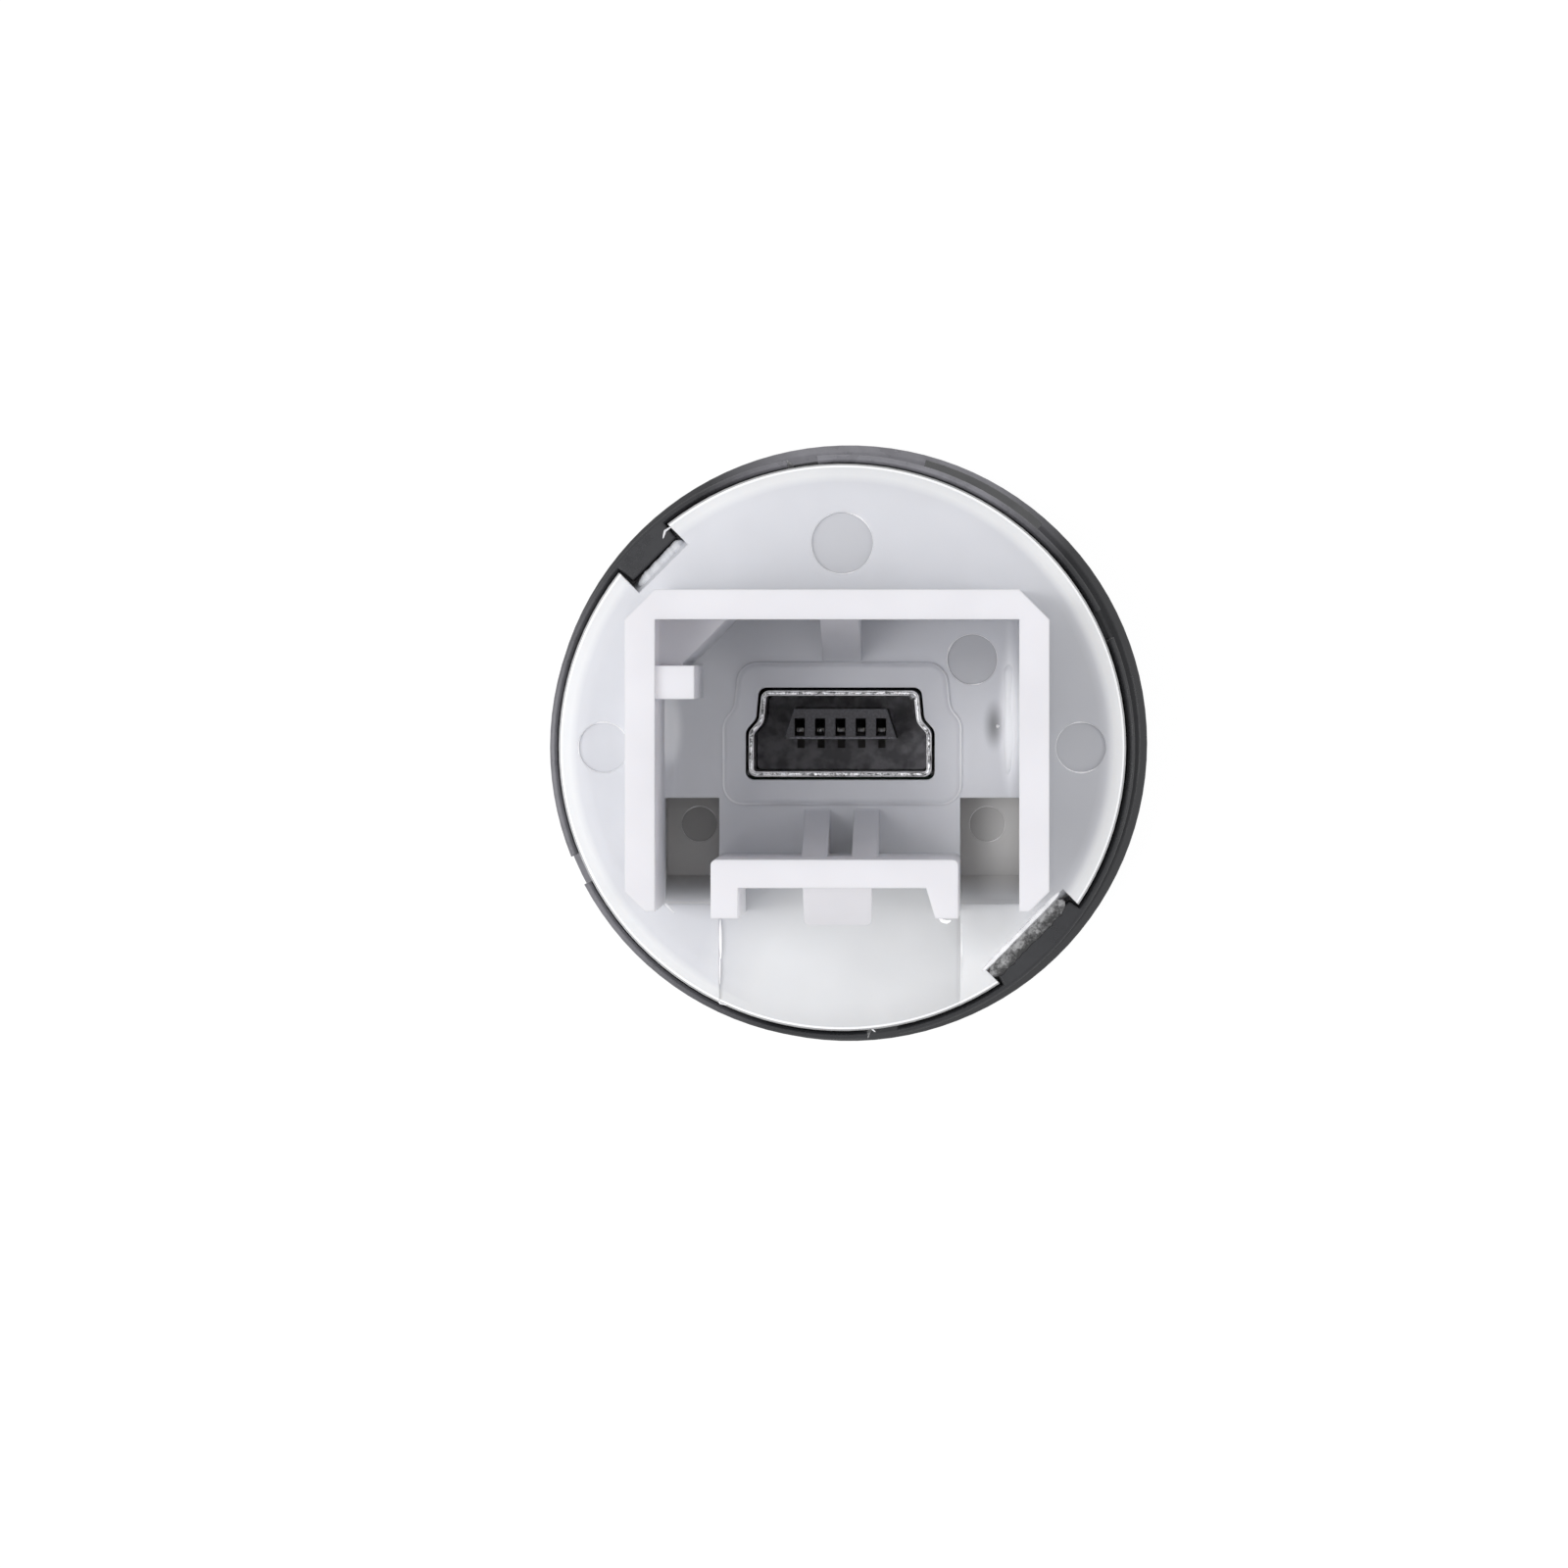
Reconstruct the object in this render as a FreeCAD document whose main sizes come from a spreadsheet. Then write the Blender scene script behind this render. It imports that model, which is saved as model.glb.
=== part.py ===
import FreeCAD, Part
import Sketcher
import math
import os
import re

# A USB socket for a vehicle's panel, in millimetres. It stands on its front face, at z = 0, and the rear
# connector points up. The origin is the middle of the front face, and Z is the axis of the barrel.

document = FreeCAD.newDocument("usb_aux_socket")
sheet = document.addObject("Spreadsheet::Sheet", "Sizes")

SIZES = [
    # The black barrel
    ("flange_dia", 24.28),
    ("flange_depth", 2.4),
    ("flange_round", 1.1),
    ("flange_back_edge", 0.3),
    ("flange_step", 0.64),
    ("barrel_wall", 1.2),
    ("rim_wall", 0.3),
    ("rim_rise", 0.9),
    ("rim_edge", 0.1),
    ("dish_share", 0.7825),
    ("dish_depth", 0.5),
    ("dish_taper", 0.4),
    ("front_wall", 2.3),
    ("mouth_lip", 0.6),
    ("mouth_margin", 0.05),
    ("mouth_lead_in", 0.35),
    # Its snap arms, between two slots each
    ("slot_wide", 1.2),
    ("slot_floor", 6.0),
    ("slot_angle_a", 25.0),
    ("slot_angle_b", 98.0),
    ("barb_rise", 0.4),
    ("barb_seat", 8.4),
    ("barb_land", 0.8),
    ("barb_length", 1.5),
    ("barb_spread", 26.0),
    # The rails that hold the board and the keys that stop the cap from turning
    ("rail_high", 0.8),
    ("rail_share", 0.28),
    ("rail_root", 0.08),
    ("rail_fit", 0.15),
    ("key_fit", 0.1),
    ("key_root", 0.05),
    # The catch between the cap's skirt and the barrel
    ("catch_angle", 160.0),
    ("catch_spread", 16.0),
    ("catch_reach", 0.6),
    ("catch_high", 1.1),
    ("catch_land", 0.33),
    ("catch_drop", 1.0),
    ("catch_fit", 0.1),
    ("catch_side_play", 1.2),
    # The white cap: plate, skirt and shroud
    ("plate_depth", 1.5),
    ("plate_fit", 0.06),
    ("plate_edge", 0.12),
    ("skirt_depth", 2.7),
    ("skirt_wall", 0.9),
    ("skirt_fit", 0.1),
    ("shroud_high", 15.8),
    ("shroud_wide", 16.22),
    ("shroud_tall", 12.31),
    ("shroud_wall", 1.15),
    ("corner_cut", 1.15),
    ("foot_cut", 0.76),
    ("key_rib_reach", 1.5),
    ("key_rib_low", 1.96),
    ("key_rib_wide", 1.28),
    ("key_rib_short", 0.3),
    # The latch wall at the open side of the shroud, with its ramp
    ("latch_wide", 9.46),
    ("latch_shift", -0.1),
    ("latch_inner", 4.17),
    ("latch_wall", 1.09),
    ("latch_corner", 0.22),
    ("latch_leg", 1.05),
    ("latch_leg_drop", 1.16),
    ("latch_slant", 0.35),
    ("ramp_wide", 2.62),
    ("ramp_reach", 1.47),
    ("ramp_start", 0.3),
    ("ramp_length", 2.7),
    ("ramp_land", 1.0),
    ("ramp_corner", 0.22),
    ("gusset_high", 8.7),
    ("upper_gusset_wide", 1.5),
    ("upper_gusset_reach", 1.6),
    ("lower_gusset_wide", 0.98),
    ("lower_gusset_gap", 0.95),
    ("lower_gusset_reach", 1.75),
    # Recesses and raised parts of the cap's floor
    ("channel_depth", 0.12),
    ("well_top", 1.98),
    ("well_depth", 3.2),
    ("well_skin", 0.8),
    ("well_slope", 1.08),
    ("corner_block_side", 1.06),
    ("corner_block_draft", 1.1),
    ("wall_foot", 0.5),
    ("pad_rise", 0.3),
    ("pad_margin", 1.1),
    ("pad_corner", 0.8),
    ("pad_edge", 0.22),
    ("notch_a_angle", 135.0),
    ("notch_a_wide", 2.7),
    ("notch_a_depth", 1.21),
    ("notch_b_angle", -45.0),
    ("notch_b_wide", 4.38),
    ("notch_b_depth", 1.08),
    ("notch_slope", 0.42),
    ("mark_depth", 0.1),
    ("mark_dia", 1.98),
    ("top_mark_dia", 2.42),
    ("well_mark_dia", 1.4),
    ("side_mark_gap", 1.26),
    ("top_mark_gap", 1.865),
    ("floor_mark_side_gap", 1.86),
    ("floor_mark_roof_gap", 1.555),
    ("well_mark_side_gap", 1.28),
    ("well_mark_drop", 1.07),
    # How far a cut runs past the edge that it opens
    ("overrun", 1.0),
    # The five-pole connector at the rear
    ("mini_wide", 7.18),
    ("mini_neck_wide", 6.38),
    ("mini_top_wide", 6.15),
    ("mini_high", 3.38),
    ("mini_shoulder", 1.77),
    ("mini_neck", 2.21),
    ("mini_corner", 0.32),
    ("mini_bend", 0.45),
    ("mini_length", 7.7),
    ("mini_shift", -0.08),
    ("mini_sheet", 0.2),
    ("mini_recess", 0.2),
    ("mini_fit", 0.12),
    ("mini_ear_wide", 1.2),
    ("mini_ear_reach", 0.85),
    ("mini_ear_inset", 0.32),
    ("mini_block", 1.6),
    ("mini_play", 0.03),
    ("tongue_low", 1.5),
    ("tongue_high", 1.17),
    ("tongue_wide", 4.42),
    ("tongue_top_wide", 3.66),
    ("tongue_setback", 0.75),
    ("pole_pitch", 0.8),
    ("pole_slot_wide", 0.39),
    ("pole_slot_low", 0.1),
    ("pole_slot_high", 0.68),
    ("pole_wide", 0.28),
    ("pole_sheet", 0.15),
    ("pole_setback", 1.3),
    ("pole_tip_rise", 0.15),
    ("pole_bow_drop", 0.5),
    ("pole_bow_start", 1.0),
    ("pole_bow_low", 1.9),
    ("pole_bow_end", 3.9),
    ("tongue_bar", 0.4),
    ("pole_clear", 0.15),
    ("pole_foot", 0.7),
    # The USB-A socket at the front
    ("usb_wide", 13.1),
    ("usb_high", 5.72),
    ("usb_sheet", 0.3),
    ("usb_length", 13.5),
    ("usb_corner", 0.5),
    ("usb_fit", 0.1),
    ("usb_block", 2.6),
    ("usb_play", 0.04),
    ("usb_tongue_side_gap", 0.7),
    ("usb_tongue_high", 1.84),
    ("usb_tongue_setback", 1.3),
    ("usb_tongue_tip", 0.37),
    ("usb_spring_wide", 1.6),
    ("usb_spring_place", 3.2),
    ("usb_spring_start", 2.2),
    ("usb_spring_length", 6.0),
    ("usb_spring_slit", 0.35),
    ("usb_ear_share", 0.47),
    ("usb_ear_length", 3.0),
    ("usb_ear_start", 8.0),
    ("usb_outer_pitch", 3.5),
    ("usb_inner_pitch", 1.0),
    ("usb_pole_wide", 1.0),
    ("usb_pole_sheet", 0.2),
    ("usb_pole_setback", 0.6),
    ("usb_pole_bow", 0.3),
    ("usb_bow_start", 0.25),
    ("usb_bow_end", 0.4),
    ("usb_pole_foot", 0.75),
    # The board between them, and its small parts
    ("stack_gap", 2.2),
    ("board_drop", 1.15),
    ("board_thick", 1.0),
    ("board_side_play", 0.55),
    ("board_fit", 0.2),
    ("board_corner", 0.6),
    ("choke_wide", 2.0),
    ("choke_long", 1.2),
    ("choke_tall", 1.2),
    ("choke_groove_wide", 0.67),
    ("choke_groove_deep", 0.12),
    ("esd_wide", 2.0),
    ("esd_long", 1.25),
    ("esd_tall", 0.95),
    ("esd_edge", 0.15),
    ("esd_pin_wide", 0.25),
    ("esd_pin_reach", 0.4),
    ("esd_pin_sheet", 0.15),
    ("esd_pin_pitch", 0.65),
    ("capacitor_wide", 2.0),
    ("capacitor_long", 1.25),
    ("capacitor_tall", 0.85),
    ("bead_wide", 1.6),
    ("bead_long", 0.8),
    ("bead_tall", 0.8),
    ("cap_metal", 0.3),
    ("cap_metal_rise", 0.04),
]

for row, (alias, value) in enumerate(SIZES, start=1):
    cell = "A" + str(row)
    sheet.set(cell, str(value))
    sheet.setAlias(cell, alias)
document.recompute()

ALIASES = {alias for alias, value in SIZES}


def bound(text):
    """The same formula with each size's name written as the sheet's own."""
    names = re.compile(r"[a-z_]+")
    return names.sub(lambda word: "Sizes." + word.group() if word.group() in ALIASES else word.group(), text)


def number(text):
    """What a formula comes to with the sizes as they stand."""
    return float(sheet.evalExpression(bound(text)))


# Heights along the axis, from the front face up
USB_MOUTH = "(dish_depth + mouth_lip)"
USB_BACK = f"({USB_MOUTH} + usb_length)"
FRONT_WALL_BACK = "(dish_depth + front_wall)"
MINI_BACK = f"({USB_BACK} + stack_gap)"
MINI_MOUTH = f"({MINI_BACK} + mini_length)"
PLATE_TOP = f"({MINI_MOUTH} + mini_recess - pad_rise)"
LEDGE = f"({PLATE_TOP} - plate_depth)"
SHROUD_TOP = f"({PLATE_TOP} + shroud_high)"
SKIRT_END = f"({LEDGE} - skirt_depth)"
BOARD_FRONT = f"({FRONT_WALL_BACK} + board_fit)"
BOARD_END = f"({SKIRT_END} - board_fit)"
BOARD_STEP = f"({USB_BACK} + board_fit)"
CHIP_LINE = f"(({MINI_BACK} + {BOARD_END}) / 2)"

# Places across the axis
BARREL_RADIUS = "(flange_dia / 2 - flange_step)"
BORE_RADIUS = f"({BARREL_RADIUS} - barrel_wall)"
RIM_RADIUS = f"({BARREL_RADIUS} - rim_wall)"
DISH_RADIUS = "(dish_share * flange_dia / 2)"
PLATE_RADIUS = f"({RIM_RADIUS} - plate_fit)"
SKIRT_RADIUS = f"({BORE_RADIUS} - skirt_fit)"
MOUTH_SIDE = "(usb_wide / 2 - usb_sheet + mouth_margin)"
MOUTH_END = "(usb_high / 2 - usb_sheet + mouth_margin)"
USB_TONGUE_SIDE = "(usb_wide / 2 - usb_sheet - usb_tongue_side_gap)"
BOARD_TOP = "(0 - board_drop)"
BOARD_BACK = "(0 - board_drop - board_thick)"
BOARD_SIDE = f"({BORE_RADIUS} - board_side_play)"
BOARD_MARGIN = f"({BOARD_SIDE} - usb_wide / 2)"
RAIL_INNER = f"({BOARD_SIDE} - rail_share * {BOARD_MARGIN})"
CHIP_PLACE = f"((mini_wide / 2 + mini_ear_reach + {RAIL_INNER}) / 2)"
SHROUD_SIDE = "(shroud_wide / 2)"
SHROUD_INNER = "(shroud_wide / 2 - shroud_wall)"
SHROUD_END = "(shroud_tall / 2)"
SHROUD_ROOF = "(shroud_tall / 2 - shroud_wall)"
LATCH_LEFT = "(latch_shift - latch_wide / 2)"
LATCH_RIGHT = "(latch_shift + latch_wide / 2)"
LATCH_OUTER = "(latch_inner + latch_wall)"
KEY_RIB_TOP = "(key_rib_low + key_rib_wide)"


def plane_of(body, role):
    """The body's own origin plane with this role."""
    for feature in body.Origin.OriginFeatures:
        if feature.Role == role:
            return feature
    raise ValueError(body.Label + " has no " + role)


def new_body(label):
    """An empty body, named as its sub-part."""
    body = document.addObject("PartDesign::Body", label)
    body.Label = label
    return body


def new_sketch(body, label, role, height, turn, aside=None):
    """A sketch on an origin plane, moved along the plane's normal, turned about the Z axis or moved aside."""
    sketch = body.newObject("Sketcher::SketchObject", label)
    sketch.AttachmentSupport = [(plane_of(body, role), "")]
    sketch.MapMode = "FlatFace"
    spin = FreeCAD.Vector(0, 0, 1)
    if role != "XY_Plane":
        spin = FreeCAD.Vector(0, 1, 0)
    if turn is not None:
        rotation = FreeCAD.Rotation(spin, number(turn))
        sketch.AttachmentOffset = FreeCAD.Placement(FreeCAD.Vector(0, 0, 0), rotation)
        sketch.setExpression("AttachmentOffset.Rotation.Angle", bound(turn))
    if height is not None:
        sketch.setExpression("AttachmentOffset.Base.z", bound(height))
    if aside is not None:
        sketch.setExpression("AttachmentOffset.Base.x", bound(aside))
    return sketch


def hold(sketch, kind, geometry, point, text, name):
    """Fix one coordinate of a point to a formula of the sheet's sizes."""
    index = sketch.addConstraint(Sketcher.Constraint(kind, -1, 1, geometry, point, number(text)))
    sketch.renameConstraint(index, name)
    sketch.setExpression("Constraints." + name, bound(text))


def outline(body, label, role, loops, height=None, turn=None, aside=None):
    """A sketch of closed outlines with straight sides, each corner given as a pair of formulas."""
    sketch = new_sketch(body, label, role, height, turn, aside)
    for corners in loops:
        first = sketch.GeometryCount
        places = [FreeCAD.Vector(number(across), number(along), 0) for across, along in corners]
        count = len(places)
        for step in range(count):
            sketch.addGeometry(Part.LineSegment(places[step], places[(step + 1) % count]))
        for step in range(count):
            following = first + (step + 1) % count
            sketch.addConstraint(Sketcher.Constraint("Coincident", first + step, 2, following, 1))
        for step, (across, along) in enumerate(corners):
            hold(sketch, "DistanceX", first + step, 1, across, f"across_{first + step}")
            hold(sketch, "DistanceY", first + step, 1, along, f"along_{first + step}")
    return sketch


def circles(body, label, rings, height):
    """A sketch of full circles across the axis, each given as the formulas of its centre and radius."""
    sketch = new_sketch(body, label, "XY_Plane", height, None)
    for across, along, radius in rings:
        centre = FreeCAD.Vector(number(across), number(along), 0)
        index = sketch.addGeometry(Part.Circle(centre, FreeCAD.Vector(0, 0, 1), number(radius)))
        hold(sketch, "DistanceX", index, 3, across, f"across_{index}")
        hold(sketch, "DistanceY", index, 3, along, f"along_{index}")
        size = sketch.addConstraint(Sketcher.Constraint("Radius", index, number(radius)))
        sketch.renameConstraint(size, f"radius_{index}")
        sketch.setExpression(f"Constraints.radius_{index}", bound(radius))
    return sketch


def rectangle(left, low, right, high):
    """The four corners of an upright rectangle."""
    return [(left, low), (right, low), (right, high), (left, high)]


def mirrored(corners):
    """The same outline on the other side of the vertical axis, in the same turning direction."""
    return [(f"(0 - ({across}))", along) for across, along in reversed(corners)]


def solid_volume(body):
    """The body's volume so far."""
    document.recompute()
    if body.Tip is None:
        return 0.0
    return body.Shape.Volume


def settled(body, feature, before, grows):
    """Recompute, and make sure that the feature did what it is for."""
    document.recompute()
    change = body.Shape.Volume - before
    if (grows and change <= 0) or (not grows and change >= 0):
        raise ValueError(feature.Label + " changed the volume by " + str(change))
    return feature


def pad(body, label, sketch, length, both_sides=False):
    """Raise a sketch along its normal, or evenly to both sides."""
    before = solid_volume(body)
    feature = body.newObject("PartDesign::Pad", label)
    feature.Profile = sketch
    if both_sides:
        feature.SideType = "Symmetric"
    feature.setExpression("Length", bound(length))
    return settled(body, feature, before, True)


def pocket(body, label, sketch, length, both_sides=False):
    """Cut a sketch down against its normal, or evenly to both sides."""
    before = solid_volume(body)
    feature = body.newObject("PartDesign::Pocket", label)
    feature.Profile = sketch
    if both_sides:
        feature.SideType = "Symmetric"
    feature.setExpression("Length", bound(length))
    return settled(body, feature, before, False)


def turned(body, label, kind, sketch, angle):
    """A revolution or groove of a sketch about the Z axis, evenly to both sides of the sketch's plane."""
    before = solid_volume(body)
    feature = body.newObject("PartDesign::" + kind, label)
    feature.Profile = sketch
    axis = [item for item in body.Origin.OriginFeatures if item.Role == "Z_Axis"][0]
    feature.ReferenceAxis = (axis, [""])
    feature.Midplane = True
    feature.setExpression("Angle", bound(angle))
    return settled(body, feature, before, kind == "Revolution")


def opposite(body, label, features):
    """Repeat features on the other side of the axis."""
    pattern = body.newObject("PartDesign::PolarPattern", label)
    pattern.Originals = features
    axis = [item for item in body.Origin.OriginFeatures if item.Role == "Z_Axis"][0]
    pattern.Axis = (axis, [""])
    pattern.Angle = 360
    pattern.Occurrences = 2
    body.Tip = pattern
    document.recompute()
    return pattern


def edges_where(shape, test):
    """The names of the edges whose middle point and direction pass the test."""
    found = []
    for index, edge in enumerate(shape.Edges, start=1):
        middle = edge.valueAt((edge.FirstParameter + edge.LastParameter) / 2)
        if test(edge, middle):
            found.append("Edge" + str(index))
    return found


def dress(body, label, kind, size, test):
    """A fillet or chamfer of the edges that pass the test."""
    document.recompute()
    base = body.Tip
    names = edges_where(base.Shape, test)
    if not names:
        raise ValueError(label + " finds no edge")
    feature = body.newObject("PartDesign::" + kind, label)
    feature.Base = (base, names)
    feature.setExpression("Radius" if kind == "Fillet" else "Size", bound(size))
    document.recompute()
    if "Invalid" in feature.State or "Error" in feature.State:
        raise ValueError(label + " failed on " + ", ".join(names))
    return feature


def is_upright(edge):
    """Whether an edge is a straight line along the axis."""
    if not isinstance(edge.Curve, Part.Line):
        return False
    return abs(abs(edge.Curve.Direction.z) - 1) < 1e-6


def near(value, text):
    """Whether a measured place is the one that a formula gives."""
    return abs(value - number(text)) < 1e-4


def is_ring(edge, middle, radius, height):
    """Whether an edge is a circle about the axis with this radius and height."""
    return (isinstance(edge.Curve, Part.Circle) and near(edge.Curve.Radius, radius)
            and near(middle.z, height) and math.hypot(edge.Curve.Center.x, edge.Curve.Center.y) < 1e-6)


def mini_outline(margin):
    """The stepped outline of the rear connector, every side moved out by a margin.

    Each side is shifted along its own normal, so a corner moves to where the two shifted sides meet.
    """
    rise = "(mini_neck - mini_shoulder)"
    run = "((mini_wide - mini_neck_wide) / 2)"
    slant = f"sqrt({rise}^2 + {run}^2)"
    climb = "(mini_high - mini_neck)"
    lean = "((mini_neck_wide - mini_top_wide) / 2)"
    side = f"sqrt({climb}^2 + {lean}^2)"
    cross = f"(({rise} * {lean} - {run} * {climb}) / ({slant} * {side}))"
    neck_out = f"(({lean} / {side} - {run} / {slant}) / {cross})"
    neck_up = f"(({rise} / {slant} - {climb} / {side}) / {cross})"
    right = [
        (f"mini_wide / 2 + {margin}", f"{BOARD_TOP} - {margin}"),
        (f"mini_wide / 2 + {margin}", f"{BOARD_TOP} + mini_shoulder + {margin} * ({slant} - {rise}) / {run}"),
        (f"mini_neck_wide / 2 + {margin} * {neck_out}", f"{BOARD_TOP} + mini_neck + {margin} * {neck_up}"),
        (f"mini_top_wide / 2 + {margin} * ({side} - {lean}) / {climb}",
         f"{BOARD_TOP} + mini_high + {margin}"),
    ]
    return right + mirrored(right)


def is_bend(middle, low):
    """Whether an edge is at the rear connector's shoulder or neck, above this height over its base."""
    base = number(BOARD_TOP)
    return base + number(low) < middle.y < base + number("(mini_neck + mini_high) / 2")


def make_barrel():
    """The black moulding: flange, front wall, barrel with its rim, arms with barbs, rails and keys."""
    body = new_body("barrel_housing")
    section = [
        ("0", "dish_depth"),
        (f"{DISH_RADIUS} - dish_taper", "dish_depth"),
        (DISH_RADIUS, "0"),
        ("flange_dia / 2", "0"),
        ("flange_dia / 2", "flange_depth"),
        (BARREL_RADIUS, "flange_depth"),
        (BARREL_RADIUS, f"{LEDGE} + rim_rise"),
        (RIM_RADIUS, f"{LEDGE} + rim_rise"),
        (RIM_RADIUS, LEDGE),
        (BORE_RADIUS, LEDGE),
        (BORE_RADIUS, FRONT_WALL_BACK),
        ("0", FRONT_WALL_BACK),
    ]
    sketch = outline(body, "barrel_profile", "XZ_Plane", [section])
    turned(body, "barrel_section", "Revolution", sketch, "360")
    dress(body, "flange_rounding", "Fillet", "flange_round",
          lambda edge, middle: is_ring(edge, middle, "flange_dia / 2", "0"))
    dress(body, "flange_back_edge_break", "Chamfer", "flange_back_edge",
          lambda edge, middle: is_ring(edge, middle, "flange_dia / 2", "flange_depth"))
    dress(body, "rim_edge_break", "Chamfer", "rim_edge",
          lambda edge, middle: near(middle.z, f"{LEDGE} + rim_rise"))

    shell_side = "(usb_wide / 2 + usb_fit)"
    shell_end = "(usb_high / 2 + usb_fit)"
    seat = outline(body, "shell_seat_outline", "XY_Plane",
                   [rectangle(f"0 - {shell_side}", f"0 - {shell_end}", shell_side, shell_end)],
                   height=FRONT_WALL_BACK)
    pocket(body, "shell_seat", seat, "front_wall - mouth_lip")
    mouth = outline(body, "mouth_outline", "XY_Plane",
                    [rectangle(f"0 - {MOUTH_SIDE}", f"0 - {MOUTH_END}", MOUTH_SIDE, MOUTH_END)],
                    height=USB_MOUTH)
    pocket(body, "mouth", mouth, "mouth_lip + dish_depth")
    dress(body, "mouth_lead", "Chamfer", "mouth_lead_in",
          lambda edge, middle: near(middle.z, "dish_depth") and isinstance(edge.Curve, Part.Line)
          and abs(middle.x) < number(MOUTH_SIDE) + 1e-4 and abs(middle.y) < number(MOUTH_END) + 1e-4)

    make_rails(body)
    make_keys(body)
    make_arms(body)
    make_catch_windows(body)
    return body


def make_rails(body):
    """Four long ribs inside the barrel, above and below each edge of the board."""
    outer = f"({BORE_RADIUS} + rail_root)"
    loops = []
    for low, high in (
        (f"{BOARD_TOP} + rail_fit", f"{BOARD_TOP} + rail_fit + rail_high"),
        (f"{BOARD_BACK} - rail_fit - rail_high", f"{BOARD_BACK} - rail_fit"),
    ):
        rail = rectangle(RAIL_INNER, low, outer, high)
        loops.append(rail)
        loops.append(mirrored(rail))
    sketch = outline(body, "rail_outline", "XY_Plane", loops, height=FRONT_WALL_BACK)
    pad(body, "board_rails", sketch, f"{BOARD_END} - {FRONT_WALL_BACK}")


def notch_foot(name):
    """How far from the axis the foot of a notch's sloped wall is."""
    return f"({PLATE_RADIUS} - {name}_depth + notch_slope)"


def make_keys(body):
    """A key on the ledge for each notch of the cap, flush with the rim, its inner face straight."""
    key = rectangle(f"{BORE_RADIUS} + key_root", f"{LEDGE} - rim_rise",
                    f"{RIM_RADIUS} + rim_wall / 2", f"{LEDGE} + rim_rise")
    for name in ("notch_a", "notch_b"):
        sketch = outline(body, name + "_key_profile", "XZ_Plane", [key], turn=name + "_angle")
        turned(body, name + "_key", "Revolution", sketch,
               f"2 * asin(({name}_wide / 2 - key_fit) / {PLATE_RADIUS})")
        face = rectangle("0", f"0 - {name}_wide / 2", f"{notch_foot(name)} + key_fit", name + "_wide / 2")
        sketch = outline(body, name + "_key_face_outline", "XY_Plane", [face], height=f"{LEDGE} + rim_rise",
                         turn=name + "_angle")
        pocket(body, name + "_key_face", sketch, "rim_rise")


def make_arms(body):
    """Two snap arms: two slots open to the rim, with their opposites, and a barb on each arm."""
    slots = []
    top = f"({LEDGE} + rim_rise)"
    for name in ("slot_angle_a", "slot_angle_b"):
        sketch = outline(body, name + "_outline", "XY_Plane",
                         [rectangle(f"{BORE_RADIUS} - slot_wide / 2", "0 - slot_wide / 2",
                                    f"{BARREL_RADIUS} + slot_wide / 2", "slot_wide / 2")],
                         height=top, turn=name)
        slots.append(pocket(body, name.replace("_angle", ""), sketch, f"{top} - slot_floor"))
    opposite(body, "opposite_slots", slots)
    root = f"{BARREL_RADIUS} - barb_rise / 2"
    barb = [
        (root, "barb_seat"),
        (f"{BARREL_RADIUS} + barb_rise", "barb_seat"),
        (f"{BARREL_RADIUS} + barb_rise", "barb_seat + barb_land"),
        (BARREL_RADIUS, "barb_seat + barb_length"),
        (root, "barb_seat + barb_length"),
    ]
    sketch = outline(body, "barb_profile", "XZ_Plane", [barb], turn="(slot_angle_a + slot_angle_b) / 2")
    opposite(body, "opposite_barb", [turned(body, "barb", "Revolution", sketch, "barb_spread")])


def make_catch_windows(body):
    """Windows through the barrel's wall, where the cap's skirt catches."""
    window = rectangle(f"{BORE_RADIUS} - catch_reach", f"{LEDGE} - catch_drop - catch_high - catch_fit",
                       f"{BARREL_RADIUS} + catch_reach", f"{LEDGE} - catch_drop + catch_fit")
    sketch = outline(body, "catch_window_profile", "XZ_Plane", [window], turn="catch_angle")
    opposite(body, "opposite_catch_window",
             [turned(body, "catch_window", "Groove", sketch, "catch_spread + catch_side_play")])


def make_cap():
    """The white moulding: plate, skirt, shroud, latch wall and all that stands on or sinks into the floor."""
    body = new_body("rear_cap")
    pad(body, "plate", circles(body, "plate_outline", [("0", "0", PLATE_RADIUS)], LEDGE), "plate_depth")
    dress(body, "plate_edge_break", "Chamfer", "plate_edge",
          lambda edge, middle: is_ring(edge, middle, PLATE_RADIUS, PLATE_TOP))
    skirt = circles(body, "skirt_outline",
                    [("0", "0", BORE_RADIUS), ("0", "0", f"{SKIRT_RADIUS} - skirt_wall")], SKIRT_END)
    pad(body, "skirt", skirt, "skirt_depth")
    make_well_boxes(body)
    make_catches(body)
    make_channel(body)
    make_shroud(body)
    make_latch_wall(body)
    make_floor_pad(body)
    make_gussets(body)
    make_wells(body)
    make_corner_block(body)
    make_wall_feet(body)
    make_connector_hole(body)
    make_notches(body)
    make_marks(body)
    return body


def make_catches(body):
    """Two sloped lugs on the skirt."""
    root = f"({SKIRT_RADIUS} - skirt_wall / 2)"
    low = f"({LEDGE} - catch_drop - catch_high)"
    lug = [
        (root, low),
        (SKIRT_RADIUS, low),
        (f"{SKIRT_RADIUS} + catch_reach", f"{LEDGE} - catch_drop - catch_land"),
        (f"{SKIRT_RADIUS} + catch_reach", f"{LEDGE} - catch_drop"),
        (root, f"{LEDGE} - catch_drop"),
    ]
    sketch = outline(body, "catch_profile", "XZ_Plane", [lug], turn="catch_angle")
    opposite(body, "opposite_catch", [turned(body, "catch", "Revolution", sketch, "catch_spread")])


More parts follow.
